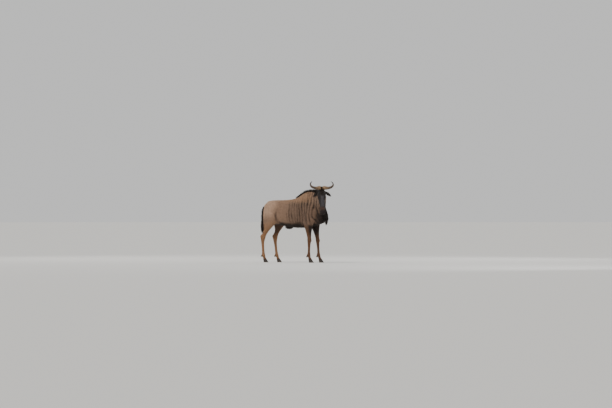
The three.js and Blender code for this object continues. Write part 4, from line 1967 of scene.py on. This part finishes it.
@dataclass
class Horns:
    """The two horns, each a finer copy of its solid.

    Attributes:
        voxel: The size of its faces.
        path: The left horn's middle line from the poll, with the head held level: place, then x, y, z.
        growth: How many growth rings there are from one place of the path to the next.
    """

    voxel: float = 0.0026
    growth: float = 3.6
    path: tuple = (
        (0.0, 0.009, -0.008, 0.008),
        (1.0, 0.050, -0.020, 0.009),
        (2.0, 0.110, -0.034, 0.006),
        (3.0, 0.168, -0.040, 0.016),
        (4.0, 0.211, -0.034, 0.044),
        (5.0, 0.224, -0.020, 0.082),
        (6.0, 0.208, -0.006, 0.114),
        (7.0, 0.184, 0.006, 0.136),
    )

    def along(self, points: np.ndarray, side: int) -> np.ndarray:
        """How far along the horn's path each point of the frame lies, 0 to 7.

        Args:
            points: The points.
            side: 1 for the left horn, -1 for the right.

        Returns:
            The place on the path for each point.
        """
        at = np.linspace(0, self.path[-1][0], 141)
        line = through(self.path, at) * (side, 1, 1)
        line = line @ TURNED_AXES.T + HEAD_ORIGIN
        best = np.full(len(points), np.inf)
        found = np.zeros(len(points))
        for value, place in zip(at, line):
            distance = np.linalg.norm(points - place, axis=1)
            found = np.where(distance < best, value, found)
            best = np.minimum(best, distance)
        return found

    def build(self) -> list[bpy.types.Object]:
        """Both horns.

        Returns:
            The objects.
        """
        made = []
        for name, side in (("left", 1), ("right", -1)):
            horn = remeshed(f"horned_{name}", merged_copy([f"horn_{name}"], 0.0004), self.voxel)
            mesh = horn.data
            shell = Shell.of(mesh)
            shell.smooth(np.ones(len(shell.points)), 30)
            shell.put(mesh)
            at = shell.spread(self.along(shell.points, side), 12)
            uneven = waves(shell.points, 0.05, 31 + side, 2)
            rings = np.sin((at + 0.22 * uneven) * 2 * math.pi * self.growth)
            push = 0.0006 * np.maximum(rings, -0.3) * ramp(4.6, 2.2, at) * ramp(0.2, 1.0, at)
            push += 0.0020 * waves(shell.points, 0.026, 33, 3) * ramp(2.2, 0.8, at)
            push += 0.0004 * waves(shell.points, 0.012, 34, 2)
            shell.push_out(mesh, push)
            set_colours(mesh, self.colours(shell.points, at, rings))
            smooth_faces(mesh)
            mesh.materials.append(HornFinish("horn_shell").material())
            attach(horn, "root")
            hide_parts(f"horn_{name}")
            made.append(horn)
        return made

    def colours(self, points: np.ndarray, at: np.ndarray, rings: np.ndarray) -> np.ndarray:
        """The horn's colours: brown and cracked at the boss, dark in the bend, black at the tip.

        Args:
            points: The horn's vertices.
            at: The place of each along the horn.
            rings: The height of the growth rings at each, -1 to 1.

        Returns:
            A linear colour for each vertex.
        """
        last = ramp(4.2, 6.2, at)
        middle = ((78, 62, 50), ramp(0.9, 3.2, at))
        colour = layered((134, 106, 78), len(points), middle, ((24, 20, 18), last))
        dark = 0.16 * ramp(0.2, -0.9, rings) * ramp(4.5, 2.0, at)
        patches = 0.55 * ramp(0.0, 0.9, waves(points * (1.0, 1.0, 0.5), 0.03, 35))
        return colour * (1.0 - np.clip(dark + patches * (1 - last), 0, 0.8))[:, None]


@dataclass
class Hooves:
    """The claws and dewclaws, as finer copies with growth rings.

    Attributes:
        voxel: The size of their faces.
        ring: The height from one growth ring to the next.
    """

    voxel: float = 0.0019
    ring: float = 0.0052

    def build(self) -> list[bpy.types.Object]:
        """All of the claws and dewclaws."""
        nodes = [name for name in sorted(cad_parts) if "claw" in name]
        return [self.claw(node) for node in nodes]

    def claw(self, node: str) -> bpy.types.Object:
        """One claw in place of its node, with its sole left flat.

        Args:
            node: The node it replaces.

        Returns:
            The object.
        """
        fine = node.startswith("dew")
        claw = remeshed(f"{node}_horn", merged_copy([node], 0.0), self.voxel * (0.7 if fine else 1.0))
        mesh = claw.data
        shell = Shell.of(mesh)
        sole = shell.points[:, 2] < 0.0008
        free = np.where(sole, 0.0, ramp(0.0, 0.006, shell.points[:, 2]) * 0.9 + 0.1)
        shell.smooth(free, 14)
        shell.put(mesh)
        uneven = waves(shell.points, 0.04, 41)
        rings = np.sin((shell.points[:, 2] / self.ring + 0.35 * uneven) * 2 * math.pi)
        flat = ramp(0.001, 0.006, shell.points[:, 2])
        push = (0.00035 * rings + 0.0004 * waves(shell.points, 0.012, 42, 2)) * flat
        shell.push_out(mesh, push * (0.5 if fine else 1.0))
        shell.points[:, 2] = np.maximum(shell.points[:, 2], 0.0)
        shell.points[sole, 2] = 0.0
        shell.put(mesh)
        dust = ramp(0.016, 0.0, shell.points[:, 2]) * 0.55 + 0.2 * ramp(0.2, 1.0, uneven)
        colours = layered((44, 38, 35), len(shell.points), ((120, 104, 86), dust))
        set_colours(mesh, colours * (1.0 + 0.12 * rings)[:, None])
        smooth_faces(mesh)
        mesh.materials.append(HornFinish("hoof_wall", rough=0.50, scale=170.0, bump=0.0005).material())
        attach(claw, "root")
        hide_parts(node)
        return claw


class Light(Enum):
    """The studio's soft fill lights: place, size, power and colour."""

    FRONT = ((-3.5, -7.5, 3.6), 4.5, 110.0, (0.98, 0.99, 1.0))
    FILL = ((6.5, -2.5, 4.5), 5.0, 130.0, (0.98, 0.99, 1.0))
    BACK = ((3.0, 7.5, 5.5), 4.5, 150.0, (1.0, 0.98, 0.95))


@dataclass
class Studio:
    """The floor, the soft lights and the camera.

    Attributes:
        facing: How far the camera's heading is turned from across the body.
        scale: Metres of the animal to one pixel of the photograph.
        distance: From the camera to the animal.
        withers_at: The pixel of the withers.
        withers: Their height.
        image: The photograph's width and height in pixels.
        horizon: The row of pixels level with the camera.
        key_from: Where the key light comes from.
        key_power: How strong the key light is.
        key_spread: How wide it looks from the animal, which softens its shadows.
        sky: How strong the even light from all around is.
        floor: The radius of the floor.
        sensor: The width of the camera's sensor in millimetres.
    """

    facing: float = math.radians(25)
    scale: float = 0.0195
    distance: float = 67.0
    withers_at: tuple = (309.0, 190.8)
    withers: float = 1.40
    image: tuple = (612, 408)
    horizon: float = 204.0
    key_from: tuple = (-0.66, 0.20, 0.92)
    key_power: float = 2.0
    key_spread: float = math.radians(16)
    sky: float = 0.80
    floor: float = 150.0
    sensor: float = 36.0

    def build(self) -> None:
        """Makes the studio."""
        bm = bmesh.new()
        bmesh.ops.create_circle(bm, cap_ends=True, segments=96, radius=self.floor)
        mesh = mesh_of("floor", bm)
        floor = placed("floor", mesh)
        mesh.materials.append(FloorFinish().build())
        world = bpy.data.worlds.new("studio")
        bpy.context.scene.world = world
        world.use_nodes = True
        sky = world.node_tree.nodes["Background"].inputs
        sky["Color"].default_value = (0.88, 0.88, 0.875, 1)
        sky["Strength"].default_value = self.sky
        key = bpy.data.lights.new("key", "SUN")
        key.energy, key.angle, key.color = self.key_power, self.key_spread, (1.0, 0.965, 0.91)
        lamp = placed("key", key)
        lamp.rotation_euler = (-Vector(self.key_from)).to_track_quat("-Z", "Y").to_euler()
        for light in Light:
            self.lamp(light)
        self.camera()

    def lamp(self, light: Light) -> None:
        """One soft light that shines on the animal.

        Args:
            light: Which one.
        """
        place, size, power, colour = light.value
        data = bpy.data.lights.new(light.name.lower(), "AREA")
        data.shape, data.size, data.energy, data.color = "DISK", size, power, colour
        lamp = placed(light.name.lower(), data)
        lamp.location = place
        lamp.rotation_euler = (Vector((0, 0, 0.8)) - Vector(place)).to_track_quat("-Z", "Y").to_euler()

    def camera(self) -> None:
        """A level camera with the photograph's framing."""
        data = bpy.data.cameras.new("camera")
        camera = placed("camera", data)
        data.sensor_width = self.sensor
        data.lens = data.sensor_width * self.distance / (self.scale * self.image[0])
        data.clip_end = 400.0
        away = Vector((-math.cos(self.facing), -math.sin(self.facing), 0))
        right = Vector((math.sin(self.facing), -math.cos(self.facing), 0))
        aside = (self.image[0] / 2 - self.withers_at[0]) * self.scale
        height = self.withers - (self.horizon - self.withers_at[1]) * self.scale
        middle = Vector((SHIFT.x, SHIFT.y, height)) + right * aside
        camera.location = middle + away * self.distance
        camera.rotation_euler = (-away).to_track_quat("-Z", "Y").to_euler()
        bpy.context.scene.camera = camera


def main() -> None:
    """Builds the model in order and writes how large it is."""
    markings, eyes, skin = Markings(), Eyes(), Skin()
    skin_object = skin.build(eyes, markings)
    pieces = [skin_object, *eyes.build(), *Horns().build(), *Hooves().build()]
    pieces += [*Coat().build(skin_object, skin), *LongHair().build(skin)]
    for piece in pieces:
        LOG.info("%s: %d faces", piece.name, len(piece.data.polygons))
    Studio().build()
    LOG.info("done")


if __name__ == "__main__":
    main()
